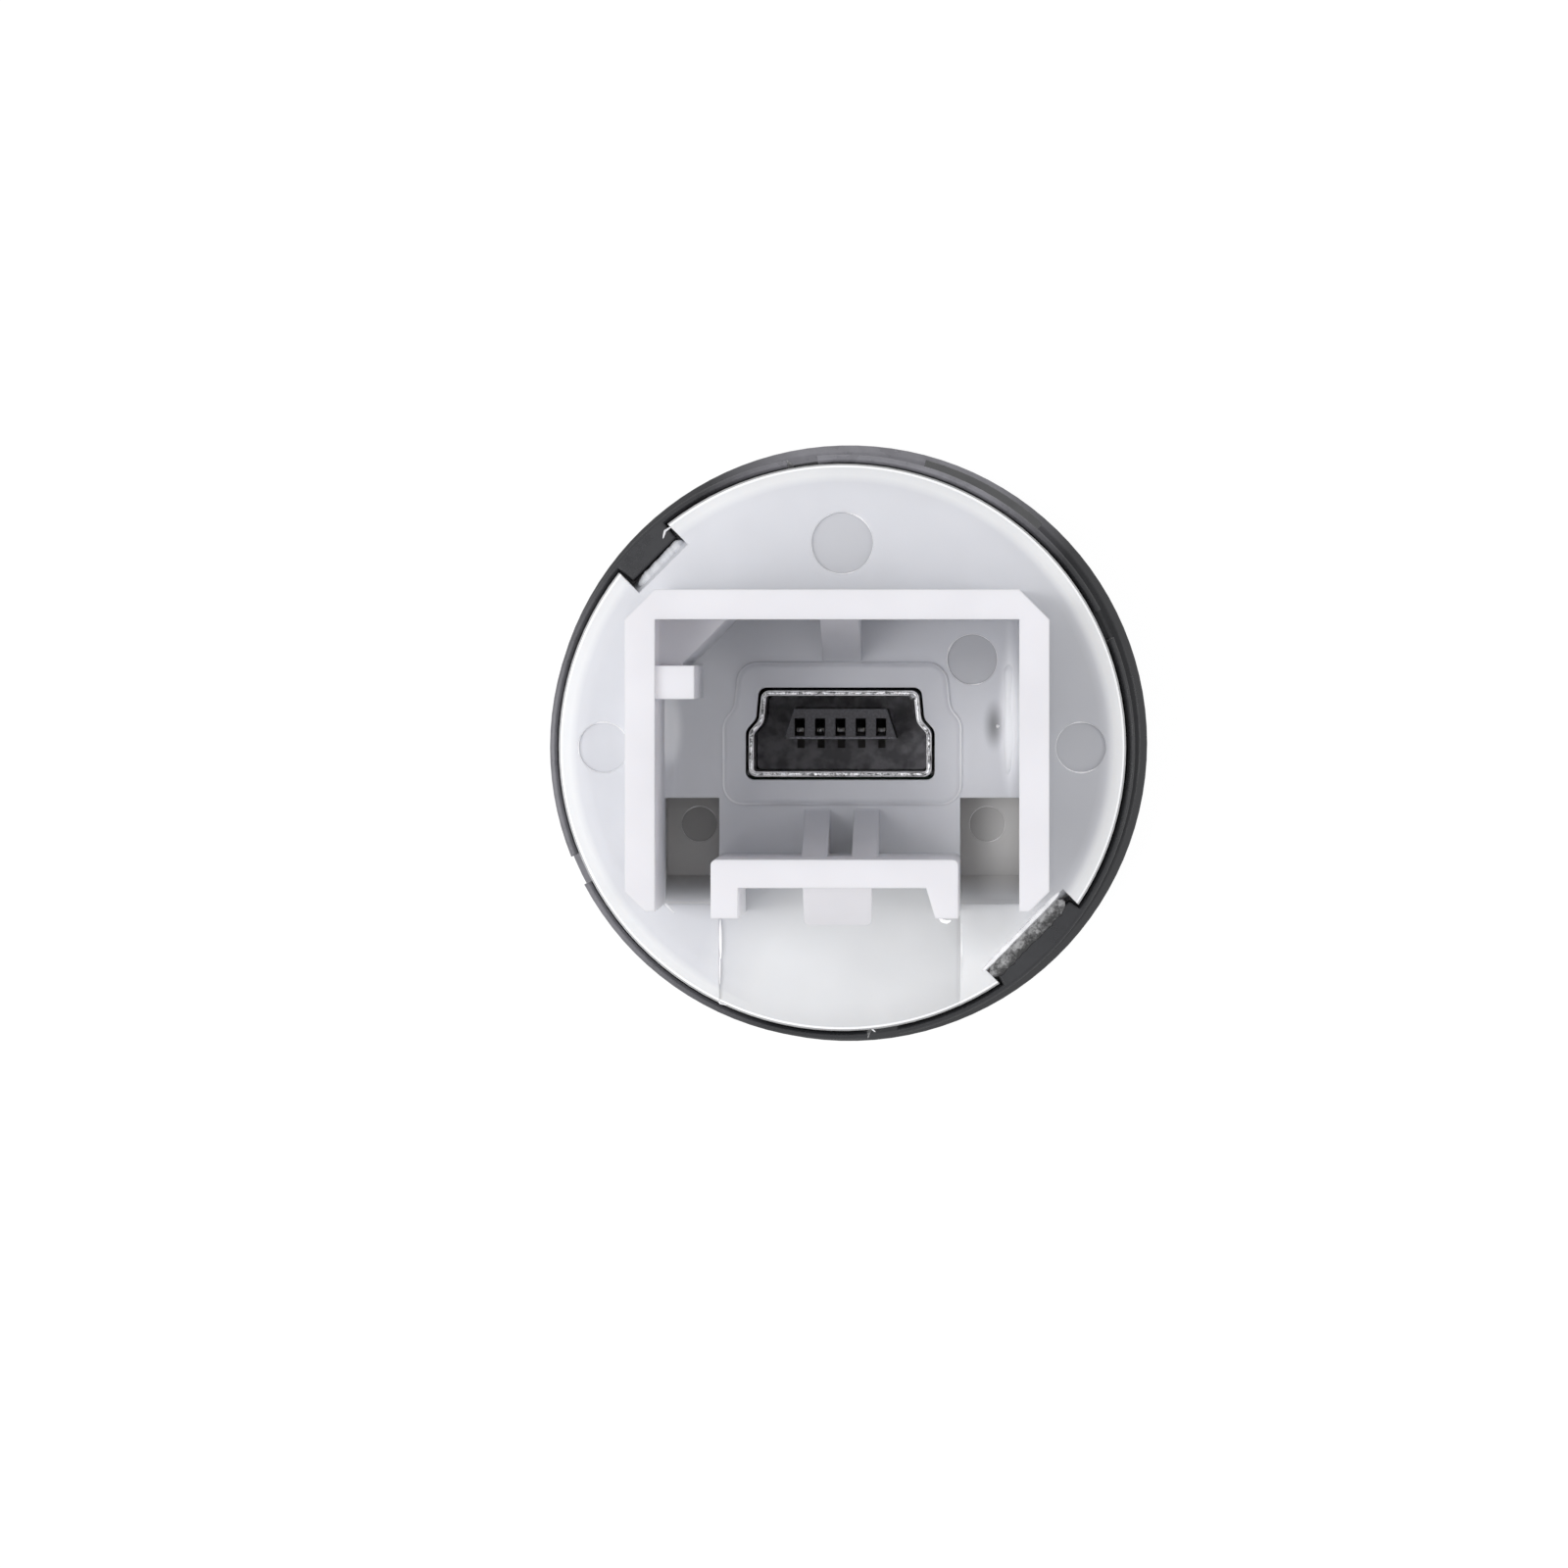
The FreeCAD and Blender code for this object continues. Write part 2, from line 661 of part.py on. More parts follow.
def well_outline(margin):
    """The outlines of the two wells beside the latch wall, grown by a margin."""
    low = f"(0 - {SHROUD_END} - {margin})"
    high = f"({margin} - well_top)"
    right = rectangle(f"{LATCH_RIGHT} - {margin}", low, f"{SHROUD_INNER} + {margin}", high)
    left = rectangle(f"0 - {SHROUD_INNER} - {margin}", low, f"{LATCH_LEFT} + {margin}", high)
    return [right, left]


def make_well_boxes(body):
    """The boxes under the plate that hold the wells, and the skirt's own trim to fit the bore."""
    sketch = outline(body, "well_box_outline", "XY_Plane", well_outline("well_skin"),
                     height=f"{PLATE_TOP} - well_depth - well_skin")
    pad(body, "well_boxes", sketch, "well_depth + well_skin - plate_depth")
    ring = circles(body, "skirt_trim_outline",
                   [("0", "0", f"{SHROUD_SIDE} + {SHROUD_END}"), ("0", "0", SKIRT_RADIUS)], LEDGE)
    pocket(body, "skirt_trim", ring, "skirt_depth + well_depth")


def make_channel(body):
    """The shallow channel that leads from the latch wall to the plate's edge."""
    channel = rectangle(LATCH_LEFT, f"0 - {PLATE_RADIUS} - overrun", LATCH_RIGHT, f"0 - {LATCH_OUTER}")
    sketch = outline(body, "channel_outline", "XY_Plane", [channel], height=PLATE_TOP)
    pocket(body, "channel", sketch, "channel_depth")


def make_shroud(body):
    """The wall round the connector, open at one side, with cut corners and the key rib."""
    wall = [
        (SHROUD_SIDE, f"foot_cut - {SHROUD_END}"),
        (SHROUD_SIDE, f"{SHROUD_END} - corner_cut"),
        (f"{SHROUD_SIDE} - corner_cut", SHROUD_END),
        (f"corner_cut - {SHROUD_SIDE}", SHROUD_END),
        (f"0 - {SHROUD_SIDE}", f"{SHROUD_END} - corner_cut"),
        (f"0 - {SHROUD_SIDE}", f"foot_cut - {SHROUD_END}"),
        (f"foot_cut - {SHROUD_SIDE}", f"0 - {SHROUD_END}"),
        (f"0 - {SHROUD_INNER}", f"0 - {SHROUD_END}"),
        (f"0 - {SHROUD_INNER}", SHROUD_ROOF),
        (SHROUD_INNER, SHROUD_ROOF),
        (SHROUD_INNER, f"0 - {SHROUD_END}"),
        (f"{SHROUD_SIDE} - foot_cut", f"0 - {SHROUD_END}"),
    ]
    pad(body, "shroud", outline(body, "shroud_outline", "XY_Plane", [wall], height=PLATE_TOP), "shroud_high")
    rib = rectangle(f"0 - {SHROUD_INNER} - shroud_wall / 2", "key_rib_low",
                    f"key_rib_reach - {SHROUD_INNER}", KEY_RIB_TOP)
    pad(body, "key_rib", outline(body, "key_rib_outline", "XY_Plane", [rib], height=PLATE_TOP),
        "shroud_high - key_rib_short")


def make_latch_wall(body):
    """The wall across the shroud's open side, its two legs and the ramp that a plug's latch rides over."""
    inner = "(0 - latch_inner)"
    outer = f"(0 - {LATCH_OUTER})"
    foot = f"(0 - {LATCH_OUTER} - latch_leg_drop)"
    wall = [
        (LATCH_LEFT, foot),
        (f"{LATCH_LEFT} + latch_leg", foot),
        (f"{LATCH_LEFT} + latch_leg", outer),
        (f"{LATCH_RIGHT} - latch_leg - latch_slant / 2", outer),
        (f"{LATCH_RIGHT} - latch_leg + latch_slant / 2", foot),
        (LATCH_RIGHT, foot),
        (LATCH_RIGHT, inner),
        (LATCH_LEFT, inner),
    ]
    sketch = outline(body, "latch_wall_outline", "XY_Plane", [wall], height=f"{PLATE_TOP} - channel_depth")
    pad(body, "latch_wall", sketch, "shroud_high + channel_depth")
    dress(body, "latch_wall_rounding", "Fillet", "latch_corner",
          lambda edge, middle: is_upright(edge) and near(middle.y, inner)
          and (near(middle.x, LATCH_LEFT) or near(middle.x, LATCH_RIGHT)))
    root = f"(latch_wall / 2 - {LATCH_OUTER})"
    crest = f"(0 - {LATCH_OUTER} - ramp_reach)"
    ramp = [
        (root, f"{SHROUD_TOP} - ramp_start"),
        (f"0 - {LATCH_OUTER}", f"{SHROUD_TOP} - ramp_start"),
        (crest, f"{SHROUD_TOP} - ramp_start - ramp_length"),
        (crest, f"{SHROUD_TOP} - ramp_start - ramp_length - ramp_land"),
        (root, f"{SHROUD_TOP} - ramp_start - ramp_length - ramp_land"),
    ]
    pad(body, "latch_ramp", outline(body, "ramp_profile", "YZ_Plane", [ramp]), "ramp_wide", both_sides=True)
    dress(body, "ramp_corners", "Fillet", "ramp_corner",
          lambda edge, middle: is_upright(edge) and near(middle.y, crest)
          and near(abs(middle.x), "ramp_wide / 2"))


def make_gussets(body):
    """One gusset under the roof wall and two against the latch wall."""
    upper = [
        (f"{SHROUD_ROOF} - upper_gusset_reach", PLATE_TOP),
        (f"{SHROUD_ROOF} + shroud_wall / 2", PLATE_TOP),
        (f"{SHROUD_ROOF} + shroud_wall / 2", f"{PLATE_TOP} + gusset_high"),
        (SHROUD_ROOF, f"{PLATE_TOP} + gusset_high"),
    ]
    pad(body, "upper_gusset", outline(body, "upper_gusset_profile", "YZ_Plane", [upper]),
        "upper_gusset_wide", both_sides=True)
    wall_face = "(0 - latch_inner)"
    lower = [
        (f"{wall_face} - latch_wall / 2", PLATE_TOP),
        (f"{wall_face} + lower_gusset_reach", PLATE_TOP),
        (wall_face, f"{PLATE_TOP} + gusset_high"),
        (f"{wall_face} - latch_wall / 2", f"{PLATE_TOP} + gusset_high"),
    ]
    for side, sign in (("right", ""), ("left", "0 - ")):
        middle = f"{sign}(lower_gusset_gap + lower_gusset_wide) / 2"
        sketch = outline(body, side + "_gusset_profile", "YZ_Plane", [lower], height=middle)
        pad(body, side + "_gusset", sketch, "lower_gusset_wide", both_sides=True)


def make_floor_pad(body):
    """The low raised pad that follows the connector's outline."""
    sketch = outline(body, "floor_pad_outline", "XY_Plane", [mini_outline("pad_margin")],
                     height=PLATE_TOP)
    pad(body, "floor_pad", sketch, "pad_rise")
    dress(body, "floor_pad_corners", "Fillet", "pad_corner",
          lambda edge, middle: is_upright(edge) and near(middle.z, f"{PLATE_TOP} + pad_rise / 2"))
    dress(body, "floor_pad_edge", "Fillet", "pad_edge",
          lambda edge, middle: near(middle.z, f"{PLATE_TOP} + pad_rise"))


def make_wells(body):
    """The two wells beside the latch wall, each with a slope up to the plate at its lower end."""
    profile = [
        ("0 - well_top", f"{PLATE_TOP} + pad_rise"),
        ("0 - well_top", f"{PLATE_TOP} - well_depth"),
        (f"well_slope - {SHROUD_END}", f"{PLATE_TOP} - well_depth"),
        (f"0 - {SHROUD_END}", PLATE_TOP),
        (f"0 - {SHROUD_END}", f"{PLATE_TOP} + pad_rise"),
    ]
    sides = [("right", LATCH_RIGHT, SHROUD_INNER), ("left", f"(0 - {SHROUD_INNER})", LATCH_LEFT)]
    for side, left, right in sides:
        middle = f"({left} + {right}) / 2"
        sketch = outline(body, side + "_well_profile", "YZ_Plane", [profile], height=middle)
        pocket(body, side + "_well", sketch, f"{right} - {left}", both_sides=True)


def make_corner_block(body):
    """The block in the corner above the key rib, with a slanted and slightly drafted side."""
    left = f"(0 - {SHROUD_INNER} - shroud_wall / 2)"
    low = f"({KEY_RIB_TOP} - key_rib_wide / 2)"
    high = f"({SHROUD_ROOF} + shroud_wall / 2)"
    side = f"(corner_block_side - {SHROUD_INNER})"
    end = f"({side} + {SHROUD_ROOF} - {KEY_RIB_TOP})"
    block = [(left, low), (side, low), (side, KEY_RIB_TOP), (end, SHROUD_ROOF), (end, high), (left, high)]
    sketch = outline(body, "corner_block_outline", "XY_Plane", [block], height=PLATE_TOP)
    feature = pad(body, "corner_block", sketch, "gusset_high")
    feature.setExpression("TaperAngle", "0 - Sizes.corner_block_draft")


def make_wall_feet(body):
    """The roundings where the shroud's side walls stand on the floor."""
    low = number("0 - well_top")
    high = number("key_rib_low + key_rib_wide / 2")
    dress(body, "wall_feet", "Fillet", "wall_foot",
          lambda edge, middle: near(middle.z, PLATE_TOP) and isinstance(edge.Curve, Part.Line)
          and near(abs(middle.x), SHROUD_INNER) and low < middle.y < high)


def make_connector_hole(body):
    """The hole that the rear connector looks out of."""
    sketch = outline(body, "connector_hole_outline", "XY_Plane", [mini_outline("mini_fit")],
                     height=f"{PLATE_TOP} + pad_rise", aside="mini_shift")
    pocket(body, "connector_hole", sketch, "plate_depth + pad_rise")
    reach = number("mini_wide / 2 + mini_high / 2")
    height = f"({LEDGE} + {PLATE_TOP} + pad_rise) / 2"
    for name, size, at_bend in (("corners", "mini_corner", False), ("bends", "mini_bend", True)):
        dress(body, "connector_hole_" + name, "Fillet", size,
              lambda edge, middle: is_upright(edge) and near(middle.z, height)
              and math.hypot(middle.x, middle.y) < reach
              and is_bend(middle, "mini_shoulder / 2") == at_bend)


def make_notches(body):
    """The two notches in the plate's edge that take the barrel's keys, each with a sloped inner wall."""
    for name in ("notch_a", "notch_b"):
        profile = [
            (f"{PLATE_RADIUS} - {name}_depth", f"{PLATE_TOP} + pad_rise"),
            (f"{PLATE_RADIUS} - {name}_depth", f"{PLATE_TOP} - plate_edge"),
            (notch_foot(name), LEDGE),
            (f"{PLATE_RADIUS} + overrun", LEDGE),
            (f"{PLATE_RADIUS} + overrun", f"{PLATE_TOP} + pad_rise"),
        ]
        sketch = outline(body, name + "_profile", "XZ_Plane", [profile], turn=name + "_angle")
        pocket(body, name, sketch, name + "_wide", both_sides=True)


def make_marks(body):
    """The shallow round marks that the mould's ejector pins leave."""
    outer = [
        (f"{SHROUD_SIDE} + side_mark_gap", "0", "mark_dia / 2"),
        (f"0 - {SHROUD_SIDE} - side_mark_gap", "0", "mark_dia / 2"),
        ("0", f"{SHROUD_END} + top_mark_gap", "top_mark_dia / 2"),
        (f"{SHROUD_INNER} - floor_mark_side_gap", f"{SHROUD_ROOF} - floor_mark_roof_gap", "mark_dia / 2"),
    ]
    pocket(body, "floor_marks", circles(body, "floor_mark_outline", outer, PLATE_TOP), "mark_depth")
    wells = [
        (f"{SHROUD_INNER} - well_mark_side_gap", "0 - well_top - well_mark_drop", "well_mark_dia / 2"),
        (f"well_mark_side_gap - {SHROUD_INNER}", "0 - well_top - well_mark_drop", "well_mark_dia / 2"),
    ]
    sketch = circles(body, "well_mark_outline", wells, f"{PLATE_TOP} - well_depth")
    pocket(body, "well_marks", sketch, "mark_depth")


def hollow_out(body, label, wall, heights):
    """Turn a block into a tube of this wall, open at the two heights."""
    document.recompute()
    base = body.Tip
    names = []
    for index, face in enumerate(base.Shape.Faces, start=1):
        at_an_end = any(near(face.CenterOfMass.z, height) for height in heights)
        if not at_an_end or not isinstance(face.Surface, Part.Plane):
            continue
        if abs(abs(face.normalAt(0, 0).z) - 1) < 1e-6:
            names.append("Face" + str(index))
    before = base.Shape.Volume
    feature = body.newObject("PartDesign::Thickness", label)
    feature.Base = (base, names)
    feature.setExpression("Value", bound(wall))
    feature.Reversed = True
    return settled(body, feature, before, False)


def make_mini_shell():
    """The folded steel shell of the rear connector, with two ears to each side that rest on the board."""
    body = new_body("mini_usb_shell")
    sketch = outline(body, "shell_outline", "XY_Plane", [mini_outline("0")], height=MINI_BACK,
                     aside="mini_shift")
    pad(body, "shell_block", sketch, "mini_length")
    dress(body, "shell_corners", "Fillet", "mini_corner",
          lambda edge, middle: is_upright(edge) and not is_bend(middle, "mini_shoulder / 2"))
    dress(body, "shell_bends", "Fillet", "mini_bend",
          lambda edge, middle: is_upright(edge) and is_bend(middle, "mini_shoulder / 2"))
    hollow_out(body, "shell_sheet", "mini_sheet", [MINI_BACK, MINI_MOUTH])
    inner = "(mini_wide / 2 - mini_corner - mini_sheet / 2)"
    outer = "(mini_wide / 2 + mini_ear_reach)"
    loops = []
    for place in (f"({MINI_BACK} + mini_ear_inset)", f"({BOARD_END} - mini_ear_inset - mini_ear_wide)"):
        ear = rectangle(inner, place, outer, f"{place} + mini_ear_wide")
        loops.append(ear)
        loops.append(mirrored(ear))
    ears = outline(body, "ear_outline", "XZ_Plane", loops, height="board_drop - mini_sheet",
                   aside="mini_shift")
    pad(body, "ears", ears, "mini_sheet")
    return body


def tongue_outline():
    """The section of the rear connector's tongue."""
    low = f"({BOARD_TOP} + tongue_low)"
    high = f"({low} + tongue_high)"
    return [
        ("0 - tongue_wide / 2", low),
        ("tongue_wide / 2", low),
        ("tongue_top_wide / 2", high),
        ("0 - tongue_top_wide / 2", high),
    ]


def pole_slots():
    """The five slots through the rear connector's tongue, one for each contact."""
    low = f"({BOARD_TOP} + tongue_low + pole_slot_low)"
    loops = []
    for step in range(-2, 3):
        middle = f"{step} * pole_pitch"
        loops.append(rectangle(f"{middle} - pole_slot_wide / 2", low, f"{middle} + pole_slot_wide / 2",
                               f"{low} + pole_slot_high"))
    return loops


def make_mini_insulator():
    """The rear connector's black body: a block that fills the shell's back, and the slotted tongue."""
    body = new_body("mini_usb_insulator")
    sketch = outline(body, "block_outline", "XY_Plane", [mini_outline("(0 - mini_sheet - mini_play)")],
                     height=MINI_BACK, aside="mini_shift")
    pad(body, "block", sketch, "mini_block")
    waist = "(mini_shoulder + mini_neck) / 2"
    dress(body, "block_corners", "Fillet", "mini_corner - mini_sheet / 2",
          lambda edge, middle: is_upright(edge) and not is_bend(middle, "mini_shoulder / 2"))
    dress(body, "block_neck", "Fillet", "mini_bend + mini_sheet",
          lambda edge, middle: is_upright(edge) and is_bend(middle, waist))
    dress(body, "block_shoulders", "Fillet", "mini_bend - mini_sheet",
          lambda edge, middle: is_upright(edge) and is_bend(middle, "mini_shoulder / 2")
          and not is_bend(middle, waist))
    sketch = outline(body, "tongue_outline", "XY_Plane", [tongue_outline()],
                     height=f"{MINI_BACK} + mini_block / 2", aside="mini_shift")
    pad(body, "tongue", sketch, "mini_length - tongue_setback - mini_block / 2")
    sketch = outline(body, "slot_outline", "XY_Plane", pole_slots(), height=f"{MINI_MOUTH} - tongue_setback",
                     aside="mini_shift")
    pocket(body, "slots", sketch, "mini_length - tongue_setback")
    under = f"({BOARD_TOP} + tongue_low)"
    gaps = []
    for step in range(-2, 3):
        middle = f"{step} * pole_pitch"
        gaps.append(rectangle(f"{middle} - pole_slot_wide / 2", f"{under} - pole_slot_low",
                              f"{middle} + pole_slot_wide / 2", f"{under} + 2 * pole_slot_low"))
    sketch = outline(body, "gap_outline", "XY_Plane", gaps,
                     height=f"{MINI_MOUTH} - tongue_setback - tongue_bar", aside="mini_shift")
    pocket(body, "gaps", sketch, "mini_length - tongue_setback - tongue_bar - mini_block")
    return body


def make_mini_contact(number_of, step):
    """One bent strip: a tip in the tongue's slot, a bow below it, a run through the block and a foot."""
    body = new_body("mini_usb_contact_" + str(number_of))
    floor = f"({BOARD_TOP} + tongue_low + pole_slot_low)"
    tip = f"({MINI_MOUTH} - tongue_setback - pole_setback)"
    back = f"({MINI_BACK} - pole_clear)"
    bow = [
        (f"({floor} + pole_tip_rise)", tip),
        (f"({floor} + pole_tip_rise)", f"({tip} - pole_bow_start)"),
        (f"({floor} - pole_bow_drop)", f"({tip} - pole_bow_low)"),
        (floor, f"({tip} - pole_bow_end)"),
    ]
    strip = bow + [
        (floor, back),
        (BOARD_TOP, back),
        (BOARD_TOP, f"{back} - pole_foot"),
        (f"{BOARD_TOP} + pole_sheet", f"{back} - pole_foot"),
        (f"{BOARD_TOP} + pole_sheet", f"{back} - pole_sheet"),
        (f"{floor} + pole_sheet", f"{back} - pole_sheet"),
    ]
    for along, height in reversed(bow):
        strip.append((f"{along} + pole_sheet", height))
    sketch = outline(body, "strip_profile", "YZ_Plane", [strip], height=f"{step} * pole_pitch + mini_shift")
    pad(body, "strip", sketch, "pole_wide", both_sides=True)
    return body


def make_usb_shell():
    """The folded steel shell of the front socket, with spring fingers and an ear on each side."""
    body = new_body("usb_a_shell")
    block = rectangle("0 - usb_wide / 2", "0 - usb_high / 2", "usb_wide / 2", "usb_high / 2")
    sketch = outline(body, "shell_outline", "XY_Plane", [block], height=USB_MOUTH)
    pad(body, "shell_block", sketch, "usb_length")
    dress(body, "shell_bends", "Fillet", "usb_corner", lambda edge, middle: is_upright(edge))
    hollow_out(body, "shell_sheet", "usb_sheet", [USB_MOUTH, USB_BACK])

    start = f"({USB_MOUTH} + usb_spring_start)"
    end = f"({start} + usb_spring_length)"
    loops = []
    for sign in ("0 - ", ""):
        middle = f"({sign}usb_spring_place)"
        left = f"({middle} - usb_spring_wide / 2)"
        right = f"({middle} + usb_spring_wide / 2)"
        loops.append([
            (f"{left} - usb_spring_slit", start),
            (f"{right} + usb_spring_slit", start),
            (f"{right} + usb_spring_slit", end),
            (right, end),
            (right, f"{start} + usb_spring_slit"),
            (left, f"{start} + usb_spring_slit"),
            (left, end),
            (f"{left} - usb_spring_slit", end),
        ])
    slits = outline(body, "spring_slit_outline", "XZ_Plane", loops)
    pocket(body, "spring_slits", slits, "usb_high + 2 * usb_sheet", both_sides=True)

    ear_start = f"({USB_MOUTH} + usb_ear_start)"
    ear = rectangle("usb_wide / 2 - usb_sheet / 2", ear_start,
                    f"usb_wide / 2 + usb_ear_share * {BOARD_MARGIN}", f"{ear_start} + usb_ear_length")
    ears = outline(body, "ear_outline", "XZ_Plane", [ear, mirrored(ear)], height="board_drop - usb_sheet")
    pad(body, "ears", ears, "usb_sheet")
    return body


def usb_channels(low, high, wide):
    """Four rectangles, one round the run of each of the front socket's contacts."""
    loops = []
    for place in ("0 - usb_outer_pitch", "0 - usb_inner_pitch", "usb_inner_pitch", "usb_outer_pitch"):
        loops.append(rectangle(f"{place} - {wide} / 2", low, f"{place} + {wide} / 2", high))
    return loops


def make_usb_insulator():
    """The front socket's body: a block at the back and the tongue above the contacts."""
    body = new_body("usb_a_insulator")
    side = "(usb_wide / 2 - usb_sheet - usb_play)"
    end = "(usb_high / 2 - usb_sheet - usb_play)"
    block = rectangle(f"0 - {side}", f"0 - {end}", side, end)
    sketch = outline(body, "block_outline", "XY_Plane", [block], height=f"{USB_BACK} - usb_block")
    pad(body, "block", sketch, "usb_block")
    dress(body, "block_corners", "Fillet", "usb_corner - usb_sheet / 2",
          lambda edge, middle: is_upright(edge))
    tongue = rectangle(f"0 - {USB_TONGUE_SIDE}", "0", USB_TONGUE_SIDE, "usb_tongue_high")
    tip = f"({USB_MOUTH} + usb_tongue_setback)"
    sketch = outline(body, "tongue_outline", "XY_Plane", [tongue], height=tip)
    pad(body, "tongue", sketch, "usb_length - usb_tongue_setback - usb_block / 2")
    dress(body, "tongue_tip", "Chamfer", "usb_tongue_tip",
          lambda edge, middle: near(middle.z, tip) and abs(edge.Curve.Direction.x) > 0.9)
    channels = usb_channels("0 - usb_pole_sheet", "0", "(usb_pole_wide + 2 * usb_play)")
    sketch = outline(body, "channel_outline", "XY_Plane", channels, height=USB_BACK)
    pocket(body, "channels", sketch, "usb_block")
    return body


def make_usb_contact(number_of, place):
    """One sprung strip under the tongue, with a foot on the board behind the socket."""
    body = new_body("usb_a_contact_" + str(number_of))
    low = "(0 - usb_pole_sheet)"
    start = f"({USB_MOUTH} + usb_tongue_setback + usb_pole_setback)"
    run_start = f"({USB_BACK} - usb_block - usb_pole_sheet)"
    bow_start = f"({start} + usb_bow_start * ({run_start} - {start}))"
    bow_end = f"({start} + usb_bow_end * ({run_start} - {start}))"
    back = f"({USB_BACK} + board_fit)"
    strip = [
        ("0", start),
        ("0 - usb_pole_bow", bow_start),
        ("0 - usb_pole_bow", bow_end),
        ("0", run_start),
        ("0", f"{back} + usb_pole_sheet"),
        (f"{BOARD_TOP} + usb_pole_sheet", f"{back} + usb_pole_sheet"),
        (f"{BOARD_TOP} + usb_pole_sheet", f"{back} + usb_pole_foot"),
        (BOARD_TOP, f"{back} + usb_pole_foot"),
        (BOARD_TOP, back),
        (low, back),
        (low, run_start),
        (f"{low} - usb_pole_bow", bow_end),
        (f"{low} - usb_pole_bow", bow_start),
        (low, start),
    ]
    sketch = outline(body, "strip_profile", "YZ_Plane", [strip], height=place)
    pad(body, "strip", sketch, "usb_pole_wide", both_sides=True)
    return body


def make_board():
    """The board: two arms beside the front socket and a full width part under the rear connector."""
    body = new_body("circuit_board")
    arm = "(usb_wide / 2 + board_fit)"
    shape = [
        (f"0 - {BOARD_SIDE}", BOARD_FRONT),
        (f"0 - {arm}", BOARD_FRONT),
        (f"0 - {arm}", BOARD_STEP),
        (arm, BOARD_STEP),
        (arm, BOARD_FRONT),
        (BOARD_SIDE, BOARD_FRONT),
        (BOARD_SIDE, BOARD_END),
        (f"0 - {BOARD_SIDE}", BOARD_END),
    ]
    pad(body, "laminate", outline(body, "laminate_outline", "XZ_Plane", [shape], height="board_drop"),
        "board_thick")
    dress(body, "laminate_corners", "Fillet", "board_corner",
          lambda edge, middle: abs(edge.Curve.Direction.y) > 0.9 and near(abs(middle.x), BOARD_SIDE)
          and near(middle.z, BOARD_END))
    return body


def make_block(label, across, along, wide, long, tall, under):
    """A small part's body, soldered on top of the board or under it, given by the middle of its base."""
    body = new_body(label)
    loop = rectangle(f"{across} - {wide} / 2", f"{along} - {long} / 2",
                     f"{across} + {wide} / 2", f"{along} + {long} / 2")
    height = "(board_drop + board_thick)" if under else f"(board_drop - {tall})"
    pad(body, label + "_block", outline(body, label + "_outline", "XZ_Plane", [loop], height=height), tall)
    return body


def make_two_pole_chip(label, across, along, wide, long, tall, under):
    """A block with a slightly thicker metal cap at each end."""
    body = make_block(label, across, along, wide, long, tall, under)
    caps = []
    for end in (f"({across} - {wide} / 2)", f"({across} + {wide} / 2 - cap_metal)"):
        caps.append(rectangle(end, f"{along} - {long} / 2 - cap_metal_rise",
                              f"{end} + cap_metal", f"{along} + {long} / 2 + cap_metal_rise"))
    height = "(board_drop + board_thick)" if under else f"(board_drop - {tall} - cap_metal_rise)"
    sketch = outline(body, label + "_cap_outline", "XZ_Plane", caps, height=height)
    pad(body, label + "_caps", sketch, f"{tall} + cap_metal_rise")
    return body


def make_choke():
    """The four-pole choke in the two data lines, a block with a groove down each side."""
    along = CHIP_LINE
    body = make_block("common_mode_choke", CHIP_PLACE, along, "choke_wide", "choke_long", "choke_tall", False)
    left = f"{CHIP_PLACE} - choke_groove_wide / 2"
    right = f"{CHIP_PLACE} + choke_groove_wide / 2"
    floor = "(choke_long / 2 - choke_groove_deep)"
    groove = rectangle(left, f"{along} - choke_long", right, f"{along} - {floor}")
    other = rectangle(left, f"{along} + {floor}", right, f"{along} + choke_long")
    sketch = outline(body, "groove_outline", "XZ_Plane", [groove, other], height="board_drop")
    pocket(body, "grooves", sketch, "choke_tall")
    return body


def make_esd_array():
    """The six-legged guard against static charge, its legs in two rows."""
    along = CHIP_LINE
    body = make_block("esd_array", f"(0 - {CHIP_PLACE})", along, "esd_wide", "esd_long", "esd_tall", False)
    dress(body, "esd_edges", "Chamfer", "esd_edge",
          lambda edge, middle: near(middle.y, f"{BOARD_TOP} + esd_tall"))
    loops = []
    for step in (-1, 0, 1):
        middle = f"({step} * esd_pin_pitch - {CHIP_PLACE})"
        loops.append(rectangle(f"{middle} - esd_pin_wide / 2", f"{along} - esd_long / 2 - esd_pin_reach",
                               f"{middle} + esd_pin_wide / 2", f"{along} + esd_long / 2 + esd_pin_reach"))
    sketch = outline(body, "pin_outline", "XZ_Plane", loops, height="board_drop - esd_pin_sheet")
    pad(body, "pins", sketch, "esd_pin_sheet")
    return body


def make_all():
    """Every sub-part, in the order in which the object goes together."""
    parts = [make_barrel(), make_usb_shell(), make_usb_insulator()]
    places = ("0 - usb_outer_pitch", "0 - usb_inner_pitch", "usb_inner_pitch", "usb_outer_pitch")
    for step, place in enumerate(places, start=1):
        parts.append(make_usb_contact(step, place))
    parts.append(make_board())
    parts.append(make_mini_shell())
    parts.append(make_mini_insulator())
    for step in range(5):
        parts.append(make_mini_contact(step + 1, step - 2))
    parts.append(make_choke())
    parts.append(make_esd_array())
    parts.append(make_two_pole_chip("filter_capacitor", f"(0 - {CHIP_PLACE} / 2)", CHIP_LINE,
                                    "capacitor_wide", "capacitor_long", "capacitor_tall", True))
    parts.append(make_two_pole_chip("ferrite_bead", f"({CHIP_PLACE} / 2)", CHIP_LINE,
                                    "bead_wide", "bead_long", "bead_tall", True))
    parts.append(make_cap())
    return parts


